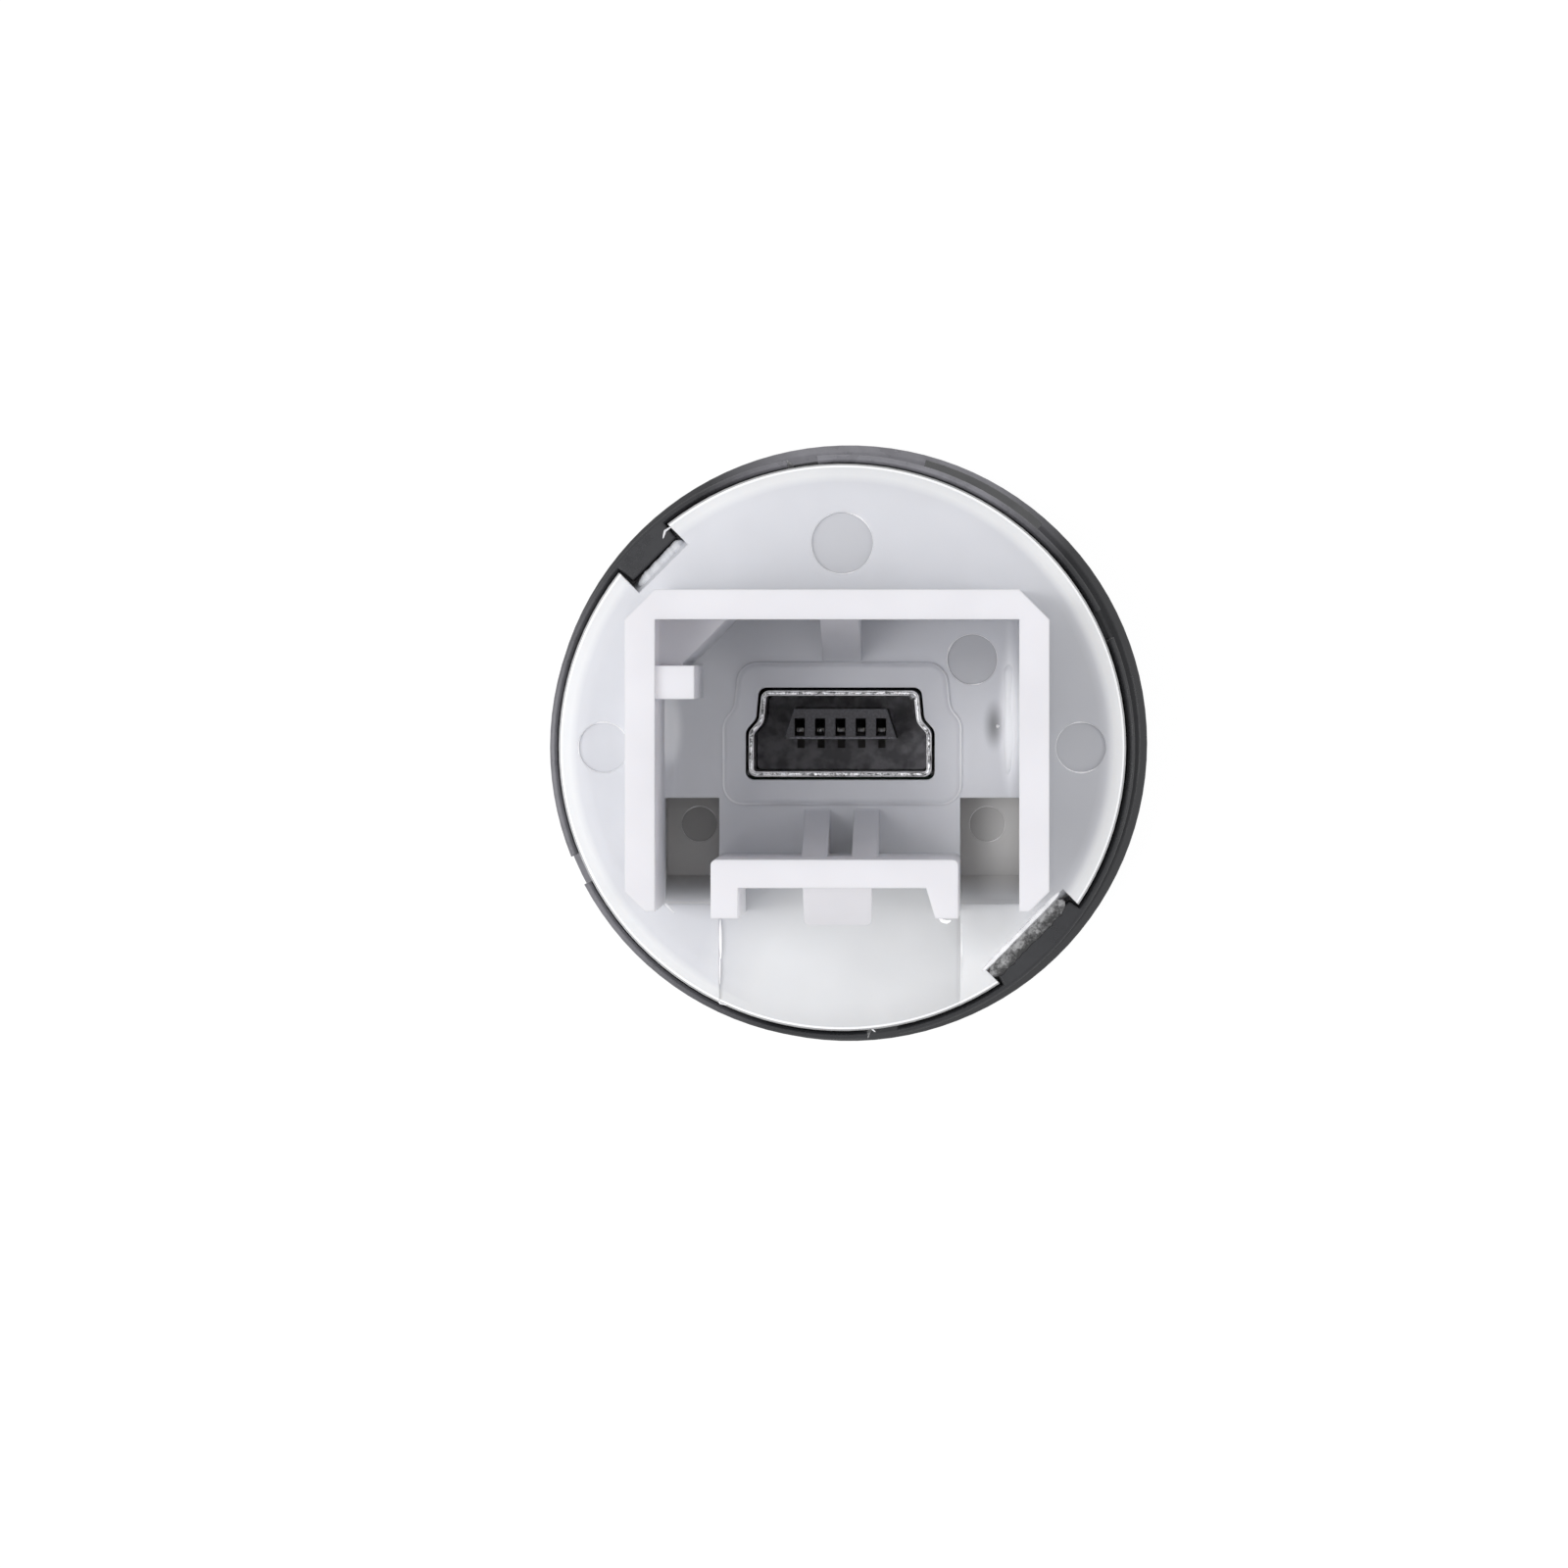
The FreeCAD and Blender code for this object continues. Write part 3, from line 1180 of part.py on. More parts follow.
def check_document(parts):
    """Stop if a feature failed or a sub-part is not one valid solid."""
    for item in document.Objects:
        if "Invalid" in item.State or "Error" in item.State:
            raise ValueError(item.Label + " failed to build: " + str(item.State))
    for body in parts:
        if body.Shape.isNull() or not body.Shape.isValid():
            raise ValueError(body.Label + " has no valid shape")
        if len(body.Shape.Solids) != 1:
            raise ValueError(body.Label + " has " + str(len(body.Shape.Solids)) + " solids")


def main():
    parts = make_all()
    document.recompute()
    check_document(parts)
    os.makedirs("parts", exist_ok=True)
    for body in parts:
        body.Shape.exportStep("parts/" + body.Label + ".step")
        box = body.Shape.BoundBox
        print(f"{body.Label}: {body.Shape.Volume:.3f} mm3, z {box.ZMin:.2f} to {box.ZMax:.2f}")


main()
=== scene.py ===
"""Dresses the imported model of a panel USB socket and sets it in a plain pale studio."""

from collections import namedtuple
import math

import bpy
import numpy as np
from mathutils import Matrix, Vector


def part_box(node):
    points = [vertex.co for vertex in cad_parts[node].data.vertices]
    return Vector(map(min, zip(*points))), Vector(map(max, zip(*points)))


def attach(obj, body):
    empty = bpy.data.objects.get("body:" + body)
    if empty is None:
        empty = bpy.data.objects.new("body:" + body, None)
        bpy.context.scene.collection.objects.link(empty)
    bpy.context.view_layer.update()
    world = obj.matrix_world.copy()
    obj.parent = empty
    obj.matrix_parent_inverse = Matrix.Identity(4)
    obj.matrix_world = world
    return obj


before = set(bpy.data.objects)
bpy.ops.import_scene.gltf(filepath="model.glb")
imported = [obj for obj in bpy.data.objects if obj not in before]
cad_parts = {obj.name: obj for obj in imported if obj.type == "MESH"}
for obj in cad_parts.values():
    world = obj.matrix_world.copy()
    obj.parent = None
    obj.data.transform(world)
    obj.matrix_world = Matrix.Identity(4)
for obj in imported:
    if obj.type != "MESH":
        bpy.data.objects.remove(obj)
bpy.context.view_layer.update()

ROOT = "root"
MM = 0.001

bl_info = {
    "name": "Panel USB Socket",
    "version": (1, 0, 0),
    "blender": (4, 5, 0),
    "location": "View3D > Sidebar > Socket",
    "description": "Moulded nylon cap, black barrel and steel connectors of a panel USB socket",
    "category": "Object",
}

# Heights along the axis: the top of the cap's plate, the barrel's rim, the rear connector's mouth and the back of
# the flange. Depths below the plate's top or the wells' floor: the wells' own and the ejector marks'.
PLATE_TOP = 24.4 * MM
BARREL_RIM = 23.8 * MM
MINI_MOUTH = 24.5 * MM
FLANGE_BACK = 2.4 * MM
WELL_DEPTH = 3.2 * MM
MARK_DEPTH = 0.1 * MM

# Distances from the axis: where the plate's edge starts to roll over, where the painted highlight line at that edge
# starts and ends, and the width over which either end of that line fades.
PLATE_ROLL_START = 9.9 * MM
PLATE_EDGE = 10.98 * MM
PLATE_EDGE_END = 11.05 * MM
EDGE_FADE = 0.03 * MM

# The slopes at the wells' lower ends: their sides, left and right of the axis, and their start and end along Y.
SLOPE_SIDES = (4.45 * MM, 7.3 * MM)
SLOPE_START = -4.75 * MM
SLOPE_END = -6.6 * MM

# How far out the painted reflection on the scuffed crest at the lower notch starts to fade and is black, and the
# direction that it faces.
REFLECTION_FADE_START = 10.15 * MM
REFLECTION_FADE_END = 10.8 * MM
REFLECTION_FADE_DIRECTION = (math.sqrt(0.5), -math.sqrt(0.5), 0.0)

# Near the plate's top: how close to a mark's height its face lies, the heights of the floor pad's edge above the
# plate, how far the pad reaches, and how far from the plate's top the light at the walls and in the wells ends.
MARK_BAND = 0.03 * MM
PAD_EDGE = (0.03 * MM, 0.24 * MM)
PAD_REACH = 4.4 * MM
WALL_LIGHT = 0.6 * MM

# The gate's place on the plate, in millimetres, and the share of the light that the painted shadow of the shroud
# takes away from the plate.
GATE = (6.1, 0.83)
PAINTED_SHADOW_LOSS = 0.15

# Patches of the cap and the barrel, in millimetres: each is an ellipse across the axis with its middle, the shares by
# which X and Y count in its radius, the radii of its rim and its core, the values at the two and their blend.
# The milky side, the right well, the right fold, the left wall, both floors and the pad's patches place painted light;
# the upper and lower bloom place a painted reflection; the gate's dimple places painted shade and the right wall's
# foot a painted shadow.
PATCHES = {
    "milky side": ((2.0, -10.5), (1.0, 1.0), 8.0, 5.5, 0.0, 1.0, "LINEAR"),
    "gate's dimple": ((5.95, 0.87), (1.0, 0.42), 0.5, 0.0, 1.0, 0.4, "SMOOTHSTEP"),
    "right wall's foot": ((5.8, -6.7), (1.0, 1.0), 1.9, 0.6, 0.0, 1.0, "LINEAR"),
    "right well": ((6.35, -3.6), (1.0, 0.4), 1.3, 0.2, 0.0, 1.0, "LINEAR"),
    "right fold": ((6.6, 1.15), (1.0, 0.16), 0.58, 0.08, 0.0, 1.0, "SMOOTHSTEP"),
    "left wall": ((-6.8, 0.68), (1.0, 0.36), 0.66, 0.25, 0.0, 0.11, "SMOOTHSTEP"),
    "left floor": ((-6.0, 0.6), (1.0, 0.7), 3.1, 2.0, 0.0, 0.045, "LINEAR"),
    "right floor": ((5.2, -0.6), (1.0, 0.6), 2.6, 0.5, 0.0, 0.1, "LINEAR"),
    "pad's right edge": ((4.6, 0.3), (1.6, 0.6), 2.4, 0.6, 0.25, 1.0, "LINEAR"),
    "pad's left corner": ((-4.7, -0.7), (1.0, 1.0), 3.2, 1.2, 0.0, 0.65, "LINEAR"),
    "upper bloom": ((2.2, 11.9), (1.0, 1.0), 8.0, 4.0, 0.0, 0.95, "LINEAR"),
    "lower bloom": ((-11.0, -3.6), (1.0, 1.0), 11.0, 4.0, 0.0, 0.75, "LINEAR"),
}

# The refractive indices of the plastics.
NYLON_IOR = 1.53
ABS_IOR = 1.52
POLYESTER_IOR = 1.57

# The picture that the camera matches: its side in pixels, its focal length in pixels, and the pixel in which
# the barrel's axis meets the top of the cap's plate.
PICTURE_SIDE = 1600
FOCAL_PIXELS = 15080
AXIS_PIXEL = (859.46, 762.63)
SENSOR = 36.0

# The colour of all the light, and the floor as it is seen: the grey of its paint and its own light.
LIGHT = (0.987, 0.987, 1.0)
FLOOR_PAINT = 0.16
FLOOR_GLOW = 0.93
FLOOR_SIDE = 3.0


def linear(code):
    """An sRGB hex colour as linear red, green, blue and alpha."""
    parts = [int(code[start:start + 2], 16) / 255 for start in (1, 3, 5)]
    return tuple(part / 12.92 if part <= 0.04045 else ((part + 0.055) / 1.055) ** 2.4 for part in parts) + (1.0,)


def grey(level):
    """An opaque linear grey."""
    return (level, level, level, 1.0)


def add_node(tree, kind, inputs=(), stops=(), **settings):
    """Add one shader node with its settings, its inputs by name or in order, and a colour ramp's stops.

    An input is a value, an output of another node, or a node for its first output.
    """
    node = tree.nodes.new("ShaderNode" + kind)
    for name, value in settings.items():
        setattr(node, name, value)
    for name, value in (inputs.items() if isinstance(inputs, dict) else enumerate(inputs)):
        if isinstance(value, bpy.types.Node):
            value = value.outputs[0]
        if isinstance(value, bpy.types.NodeSocket):
            tree.links.new(value, node.inputs[name])
        else:
            node.inputs[name].default_value = value
    for _ in stops[2:]:
        node.color_ramp.elements.new(0.5)
    for number, (place, colour) in enumerate(stops):
        node.color_ramp.elements[number].position = place
        node.color_ramp.elements[number].color = colour
    return node


def new_material(name):
    """An empty node material, its tree and its Object coordinates in metres."""
    material = bpy.data.materials.new(name)
    material.use_nodes = True
    tree = material.node_tree
    tree.nodes.clear()
    return material, tree, add_node(tree, "TexCoord").outputs["Object"]


def finished(material, inputs):
    """The material with a surface of these inputs."""
    surface = add_node(material.node_tree, "BsdfPrincipled", inputs)
    add_node(material.node_tree, "OutputMaterial", (surface,))
    return material


def hex_colour(name, what, default):
    """A setting for the colour of something."""
    return bpy.props.StringProperty(name=name, description=f"sRGB colour of {what}", default=default)


def fraction(name, description, default):
    """A setting from 0 to 1."""
    return bpy.props.FloatProperty(name=name, description=description, default=default, min=0.0, max=1.0)


def glow(name, what, default):
    """A setting for painted light: emission that stands in for the light that comes through something."""
    return bpy.props.FloatProperty(name=name, description=f"Light that {what} passes on", default=default, min=0.0)


def measure(name, description, default, unit="LENGTH"):
    """A setting with a unit."""
    return bpy.props.FloatProperty(name=name, description=description, default=default, unit=unit)


class SOCKET_PG_cap(bpy.types.PropertyGroup):
    """Finish of the white cap."""
    colour: hex_colour("Colour", "the thick nylon of the shroud", "#f0eff3")
    thin: hex_colour("Thin colour", "the thin plate over black", "#e5e6ea")
    # Painted light: the colour of the plate's lighter lower side and outer ring.
    milky: hex_colour("Milky colour", "the plate's milkiest side", "#f8f9fa")
    # Painted shade: the darker, warmer colour of the wells.
    deep: hex_colour("Deep colour", "the wells", "#d5d3d1")
    flash: hex_colour("Flash colour", "thin flash and lips", "#fbfafc")
    shade: fraction("Shade", "Brightness of its duller patches", 0.95)
    mark_shade: fraction("Mark shade", "Brightness of the ejector marks", 0.78)
    roughness: fraction("Roughness", "How dull the nylon is", 0.42)
    scatter: fraction("Scatter", "Share of the light that goes through the skin", 0.35)
    scatter_depth: measure("Scatter depth", "How deep that light goes", 0.9 * MM)
    edge_round: measure("Edge round", "Radius of the moulded edges", 0.09 * MM)
    plate_roll: measure("Plate roll", "Radius of the plate's rolled outer edge", 2.6 * MM)
    grain: measure("Grain", "Spacing of the tool's fine grain", 0.12 * MM)
    # Painted light: strengths of the emission that makes these places glow.
    edge_glow: glow("Edge glow", "the plate's thin edge", 0.36)
    slope_glow: glow("Slope glow", "each slope of the wells", 0.25)
    flash_glow: glow("Flash glow", "thin flash", 0.3)
    pad_glow: glow("Pad glow", "the floor pad's thin edge", 0.2)
    fold_glow: glow("Fold glow", "the fold at the right wall", 0.27)
    well_glow: glow("Well glow", "the right well", 0.115)


class SOCKET_PG_barrel(bpy.types.PropertyGroup):
    """Finish of the black barrel."""
    colour: hex_colour("Colour", "the plastic", "#1b1c20")
    # The colour of the pale painted reflection on the barrel's rim and flange.
    pale_mottle: hex_colour("Bloom", "the pale bloom", "#8f8e94")
    roughness: fraction("Roughness", "How dull the plastic is", 0.3)
    edge_round: measure("Edge round", "Radius of the moulded edges", 0.12 * MM)


class SOCKET_PG_metal(bpy.types.PropertyGroup):
    """Finish of the shells and contacts."""
    steel: hex_colour("Steel", "the tinned steel", "#c9c8cb")
    contact: hex_colour("Contacts", "the plated contacts", "#a3a19d")
    burr: measure("Burr", "Height of the burr on the shell's cut edge", 0.05 * MM)


class SOCKET_PG_stage(bpy.types.PropertyGroup):
    """Camera, lamps and floor."""
    camera_side: measure("Camera X", "Camera's place across, from the axis", 7.4 * MM)
    camera_up: measure("Camera Y", "Camera's place along Y, from the axis", 4.41 * MM)
    camera_height: measure("Camera height", "Height above the cap's plate", 580 * MM)
    key_power: measure("Key power", "Power of the soft lamp at the left", 2.25, "POWER")
    top_power: measure("Top power", "Power of the soft lamp nearly overhead", 1.95, "POWER")
    side_power: measure("Side power", "Power of the soft lamp at the right", 1.75, "POWER")
    low_power: measure("Low power", "Power of the small lamp at the lower left", 0.6, "POWER")
    ambient: measure("Ambient", "Strength of the even light from all sides", 0.47, "NONE")
    floor: hex_colour("Floor", "the floor", "#f4f4f5")


# A point of a surface, as outputs of nodes: its Object coordinates in metres, together and each by itself, and its
# distance from the axis.
Point = namedtuple("Point", "tree place x y z outward")


def distance_from(tree, place, middle, shares=(1.0, 1.0)):
    """The distance across the axis from a middle given in millimetres, with each direction counted by its share."""
    flat = add_node(tree, "VectorMath", (place, (*shares, 0.0)), operation="MULTIPLY")
    target = (middle[0] * MM * shares[0], middle[1] * MM * shares[1], 0.0)
    return add_node(tree, "VectorMath", (flat, target), operation="DISTANCE").outputs["Value"]


def located(tree, place):
    """The Point of these Object coordinates."""
    x, y, z = add_node(tree, "SeparateXYZ", (place,)).outputs
    return Point(tree, place, x, y, z, distance_from(tree, place, (0.0, 0.0)))


def patch(point, name):
    """The value of one of PATCHES at a point: its first outside the rim, its second inside the core."""
    middle, shares, rim, core, outside, inside, blend = PATCHES[name]
    away = distance_from(point.tree, point.place, middle, shares)
    return add_node(point.tree, "MapRange", (away, rim * MM, core * MM, outside, inside), interpolation_type=blend)


def combined(tree, operation, *items):
    """Values taken together in turn, such as their product, sum or greatest."""
    total = items[0]
    for item in items[1:]:
        total = add_node(tree, "Math", (total, item), operation=operation)
    return total


def slope_share(point):
    """How far up the slope at a well's lower end a point lies, cubed, less at the right, and 0 everywhere else."""
    tree = point.tree
    height = add_node(tree, "MapRange", (point.z, PLATE_TOP - WELL_DEPTH, PLATE_TOP))
    below = combined(tree, "LESS_THAN", point.z, PLATE_TOP - 0.01 * MM)
    start = add_node(tree, "MapRange", (point.y, SLOPE_START, SLOPE_START - 0.5 * MM))
    end = combined(tree, "GREATER_THAN", point.y, SLOPE_END)
    left = add_node(tree, "MapRange", (point.x, -5.0 * MM, 5.0 * MM, 1.0, 0.35))
    side = add_node(tree, "Math", (point.x,), operation="ABSOLUTE")
    inner = combined(tree, "GREATER_THAN", side, SLOPE_SIDES[0])
    outer = combined(tree, "LESS_THAN", side, SLOPE_SIDES[1])
    return combined(tree, "MULTIPLY", height, height, height, left, below, start, end, inner, outer)


def pad_edge_share(point):
    """How much painted light the floor pad's edge gets, in place of its highlights: most at its right and lower left
    corner.
    """
    tree = point.tree
    above = combined(tree, "GREATER_THAN", point.z, PLATE_TOP + PAD_EDGE[0])
    below = combined(tree, "LESS_THAN", point.z, PLATE_TOP + PAD_EDGE[1])
    near = combined(tree, "LESS_THAN", distance_from(tree, point.place, (0.0, 0.5), (0.75, 1.0)), PAD_REACH)
    most = combined(tree, "MAXIMUM", patch(point, "pad's right edge"), patch(point, "pad's left corner"))
    return combined(tree, "MULTIPLY", above, below, near, most)


def mark_tones(point, settings):
    """Brightness of the ejector marks on the plate and in the wells, by their height, and 1 outside them."""
    tree = point.tree
    # The marks' own duller tone, with a painted reflection: on the plate they darken towards the right up to x = 5.1
    # mm.
    painted_reflection_tone = add_node(tree, "MapRange", (point.x, -9.4 * MM, 5.1 * MM, 0.97, settings.mark_shade))
    far_right = add_node(tree, "MapRange", (point.x, 7.0 * MM, 8.0 * MM, 0.0, 0.95))
    on_plate = combined(tree, "MAXIMUM", painted_reflection_tone, far_right)
    in_well = add_node(tree, "MapRange", (point.x, -5.7 * MM, 5.7 * MM, 0.75, 0.86))
    for height, tone in ((PLATE_TOP - MARK_DEPTH, on_plate), (PLATE_TOP - WELL_DEPTH - MARK_DEPTH, in_well)):
        level = add_node(tree, "Math", (point.z, height, MARK_BAND), operation="COMPARE")
        yield add_node(tree, "MapRange", (level, 0.0, 1.0, 1.0, tone))


def painted_shadow_tone(point):
    """Painted shadow of the shroud on the plate: darker at its far right and at the right wall's foot, and 1
    elsewhere.
    """
    tree = point.tree
    far = combined(tree, "MULTIPLY", add_node(tree, "MapRange", (point.x, 6.8 * MM, 7.8 * MM)),
                   add_node(tree, "MapRange", (point.y, 6.8 * MM, 4.6 * MM)),
                   add_node(tree, "MapRange", (point.outward, 10.6 * MM, 10.1 * MM)))
    thin = combined(tree, "MAXIMUM", far, patch(point, "right wall's foot"))
    low = combined(tree, "LESS_THAN", point.z, PLATE_TOP + 0.05 * MM)
    thin = combined(tree, "MULTIPLY", thin, low)
    return add_node(tree, "MapRange", (thin, 0.0, 1.0, 1.0, 1.0 - PAINTED_SHADOW_LOSS))


def nylon_colour(point, settings, patches, dimple_shade):
    """The nylon's colour: thin plate with painted light at its lower side and outer ring, thick shroud, wells in
    painted shade, times the tones.
    """
    tree = point.tree
    # Painted light: the plate's lower side and its outer ring are lighter.
    outer = add_node(tree, "MapRange", (point.outward, 10.4 * MM, 10.7 * MM))
    milky = combined(tree, "MAXIMUM", patch(point, "milky side"), outer)
    rise = add_node(tree, "MapRange", (point.z, PLATE_TOP + 0.5 * MM, PLATE_TOP + 12 * MM))
    # Painted shade: the wells are darker and warmer.
    painted_well_shade = add_node(tree, "MapRange", (point.z, PLATE_TOP - 1.0 * MM, PLATE_TOP - 3.1 * MM))
    colour = linear(settings.thin)
    for share, other in ((milky, settings.milky), (rise, settings.colour), (painted_well_shade, settings.deep)):
        colour = add_node(tree, "Mix", {0: share, 6: colour, 7: linear(other)}, data_type="RGBA").outputs[2]
    uneven = add_node(tree, "MapRange", (patches, 0.35, 0.65, settings.shade, 1.0))
    # Painted shade in the gap beyond the plate's edge.
    last = add_node(tree, "MapRange", (point.outward, PLATE_EDGE_END, PLATE_EDGE_END + EDGE_FADE, 1.0, 0.6))
    tone = combined(tree, "MULTIPLY", uneven, *mark_tones(point, settings), dimple_shade, last, painted_shadow_tone(point))
    return add_node(tree, "VectorMath", {0: colour, 3: tone}, operation="SCALE")


def nylon_normal(point, settings):
    """The nylon's normal: rounded edges, the plate's rolled rim, slow waves and the tool's grain.

    A distance d past the start of the roll, the rim has dropped by d^2 / (2 r), where r is the roll's radius.
    """
    tree = point.tree
    rounded = add_node(tree, "Bevel", {"Radius": settings.edge_round}, samples=6)
    past = combined(tree, "MAXIMUM", combined(tree, "SUBTRACT", point.outward, PLATE_ROLL_START), 0.0)
    drop = combined(tree, "MULTIPLY", past, past, -0.5 / settings.plate_roll)
    rolled = add_node(tree, "Bump", {"Strength": 1.0, "Distance": 1.0, "Height": drop, "Normal": rounded})
    waves = add_node(tree, "TexNoise", {"Vector": point.place, "Scale": 1 / (1.8 * MM), "Detail": 1.0})
    wavy = add_node(tree, "Bump", {"Strength": 0.35, "Distance": 0.03 * MM, "Height": waves, "Normal": rolled})
    grain = add_node(tree, "TexNoise", {"Vector": point.place, "Scale": 1 / settings.grain, "Detail": 2.0})
    return add_node(tree, "Bump", {"Strength": 0.25, "Distance": 0.004 * MM, "Height": grain, "Normal": wavy})


def nylon_glow(point, settings, dimple_shade):
    """Painted light, as emission in place of light through thin nylon: at the rim, the slopes, the pad, the well, the
    fold and the floors.
    """
    tree = point.tree
    # Painted highlight: a bright line at the plate's edge, and painted light in a band near its rim at the right.
    line = add_node(tree, "MapRange", (point.outward, PLATE_EDGE, PLATE_EDGE + EDGE_FADE))
    painted_rim_light = combined(tree, "MULTIPLY", add_node(tree, "MapRange", (point.outward, 10.3 * MM, 10.9 * MM)),
                        add_node(tree, "MapRange", (point.x, 5.0 * MM, 8.0 * MM, 0.0, 0.35)))
    rim = combined(tree, "MAXIMUM", line, painted_rim_light)
    end = add_node(tree, "MapRange", (point.outward, PLATE_EDGE_END, PLATE_EDGE_END + EDGE_FADE, 1.0, 0.0))
    above = add_node(tree, "MapRange",
                     (point.z, PLATE_TOP - 0.25 * MM, PLATE_TOP - 0.15 * MM, 0.0, settings.edge_glow))
    in_well = combined(tree, "LESS_THAN", point.z, PLATE_TOP - WALL_LIGHT)
    low = combined(tree, "LESS_THAN", point.z, PLATE_TOP + WALL_LIGHT)
    on_plate = add_node(tree, "MapRange", (point.z, PLATE_TOP - 0.3 * MM, PLATE_TOP - 0.1 * MM))
    floors = combined(tree, "ADD", *(patch(point, name) for name in ("left wall", "left floor", "right floor")))
    places = (
        (rim, end, above),
        (slope_share(point), settings.slope_glow),
        (pad_edge_share(point), settings.pad_glow),
        (patch(point, "right well"), in_well, settings.well_glow),
        (patch(point, "right fold"), low, dimple_shade, settings.fold_glow),
        (floors, on_plate, low, dimple_shade),
    )
    return combined(tree, "ADD", *(combined(tree, "MULTIPLY", *factors) for factors in places))


def nylon_skin(settings):
    """What all the nylon's surfaces share: light enters their milky skin, and red goes furthest in it."""
    return {"IOR": NYLON_IOR, "Subsurface Weight": settings.scatter, "Subsurface Radius": (1.0, 0.92, 0.85),
            "Subsurface Scale": settings.scatter_depth, "Emission Color": grey(1.0)}


def nylon_material(settings):
    """Natural nylon 66, injection moulded in a spark-eroded tool.

    A milky skin that lets a little light in: whitest where the shroud is thick and duller in the thin plate over
    the black barrel, with painted light on the plate's lower side and outer ring, a painted shadow of the shroud at
    its right, and painted warm shade in the wells. The ejector marks are duller discs with a painted reflection that
    darkens them towards the right, and a dark spot of painted shade lies beside the gate. The surface has fine grain
    from the tool and slow waves where the plastic shrank, and the plate's outer edge is rolled over. Painted light,
    as emission, brightens its rim, the slopes of the wells, the pad's edge, the fold at the right wall, the left wall
    and the floor beside the connector.
    """
    material, tree, place = new_material("natural nylon 66, moulded")
    point = located(tree, place)
    patches = add_node(tree, "TexNoise", {"Vector": place, "Scale": 1 / (4 * MM), "Detail": 2.0})
    dull = add_node(tree, "MapRange", (patches, 0.3, 0.7, settings.roughness - 0.06, settings.roughness + 0.06))
    # Painted shade: a dark spot beside the gate, where a small hollow would be shaded.
    dimple_shade = patch(point, "gate's dimple")
    return finished(material, {**nylon_skin(settings), "Roughness": dull,
                               "Base Color": nylon_colour(point, settings, patches, dimple_shade),
                               "Normal": nylon_normal(point, settings),
                               "Emission Strength": nylon_glow(point, settings, dimple_shade)})


def flash_material(settings):
    """Thin flash of natural nylon 66, pressed out between the tool's halves: milky, and lit from within by painted
    light, an emission.
    """
    material, tree, place = new_material("natural nylon 66, thin flash")
    cloud = add_node(tree, "TexNoise", {"Vector": place, "Scale": 1 / (0.5 * MM), "Detail": 2.0})
    lit = add_node(tree, "MapRange", (cloud, 0.35, 0.65, 0.3 * settings.flash_glow, settings.flash_glow))
    bump = add_node(tree, "Bump", {"Strength": 0.3, "Distance": 0.01 * MM, "Height": cloud})
    return finished(material, {**nylon_skin(settings), "Base Color": linear(settings.flash), "Roughness": 0.35,
                               "Normal": bump, "Emission Strength": lit})


def scuffed_plastic_painted_reflection_material():
    """Black ABS, scuffed where the cap was pressed past it: torn crests whose grey is a painted reflection that fades
    outward into black.
    """
    material, tree, place = new_material("black ABS, scuffed, painted reflection")
    torn = add_node(tree, "TexNoise", {"Vector": place, "Scale": 1 / (0.32 * MM), "Detail": 6.0, "Roughness": 0.7})
    across = add_node(tree, "VectorMath", (place, REFLECTION_FADE_DIRECTION), operation="DOT_PRODUCT").outputs["Value"]
    # Painted reflection: the crests are grey near the plate and fade to black outward.
    fade = add_node(tree, "MapRange", (across, REFLECTION_FADE_START, REFLECTION_FADE_END, -0.13, 0.2))
    crest = combined(tree, "SUBTRACT", torn, fade)
    colour = add_node(tree, "ValToRGB", (crest,), ((0.36, grey(0.028)), (0.47, grey(0.16)), (0.6, grey(0.5))))
    bump = add_node(tree, "Bump", {"Strength": 0.6, "Distance": 0.03 * MM, "Height": torn})
    return finished(material, {"IOR": ABS_IOR, "Roughness": 0.5, "Base Color": colour, "Normal": bump})


def insulator_painted_highlight_material():
    """Black glass-filled polyester whose lighter, smoother colour along an edge is a painted highlight."""
    material, tree, place = new_material("black glass-filled polyester, painted highlight")
    fibres = add_node(tree, "TexNoise", {"Vector": place, "Scale": 1 / (0.12 * MM), "Detail": 3.0})
    colour = add_node(tree, "ValToRGB", (fibres,), ((0.35, linear("#5a595e")), (0.7, linear("#9a999f"))))
    return finished(material, {"IOR": POLYESTER_IOR, "Roughness": 0.35, "Base Color": colour})


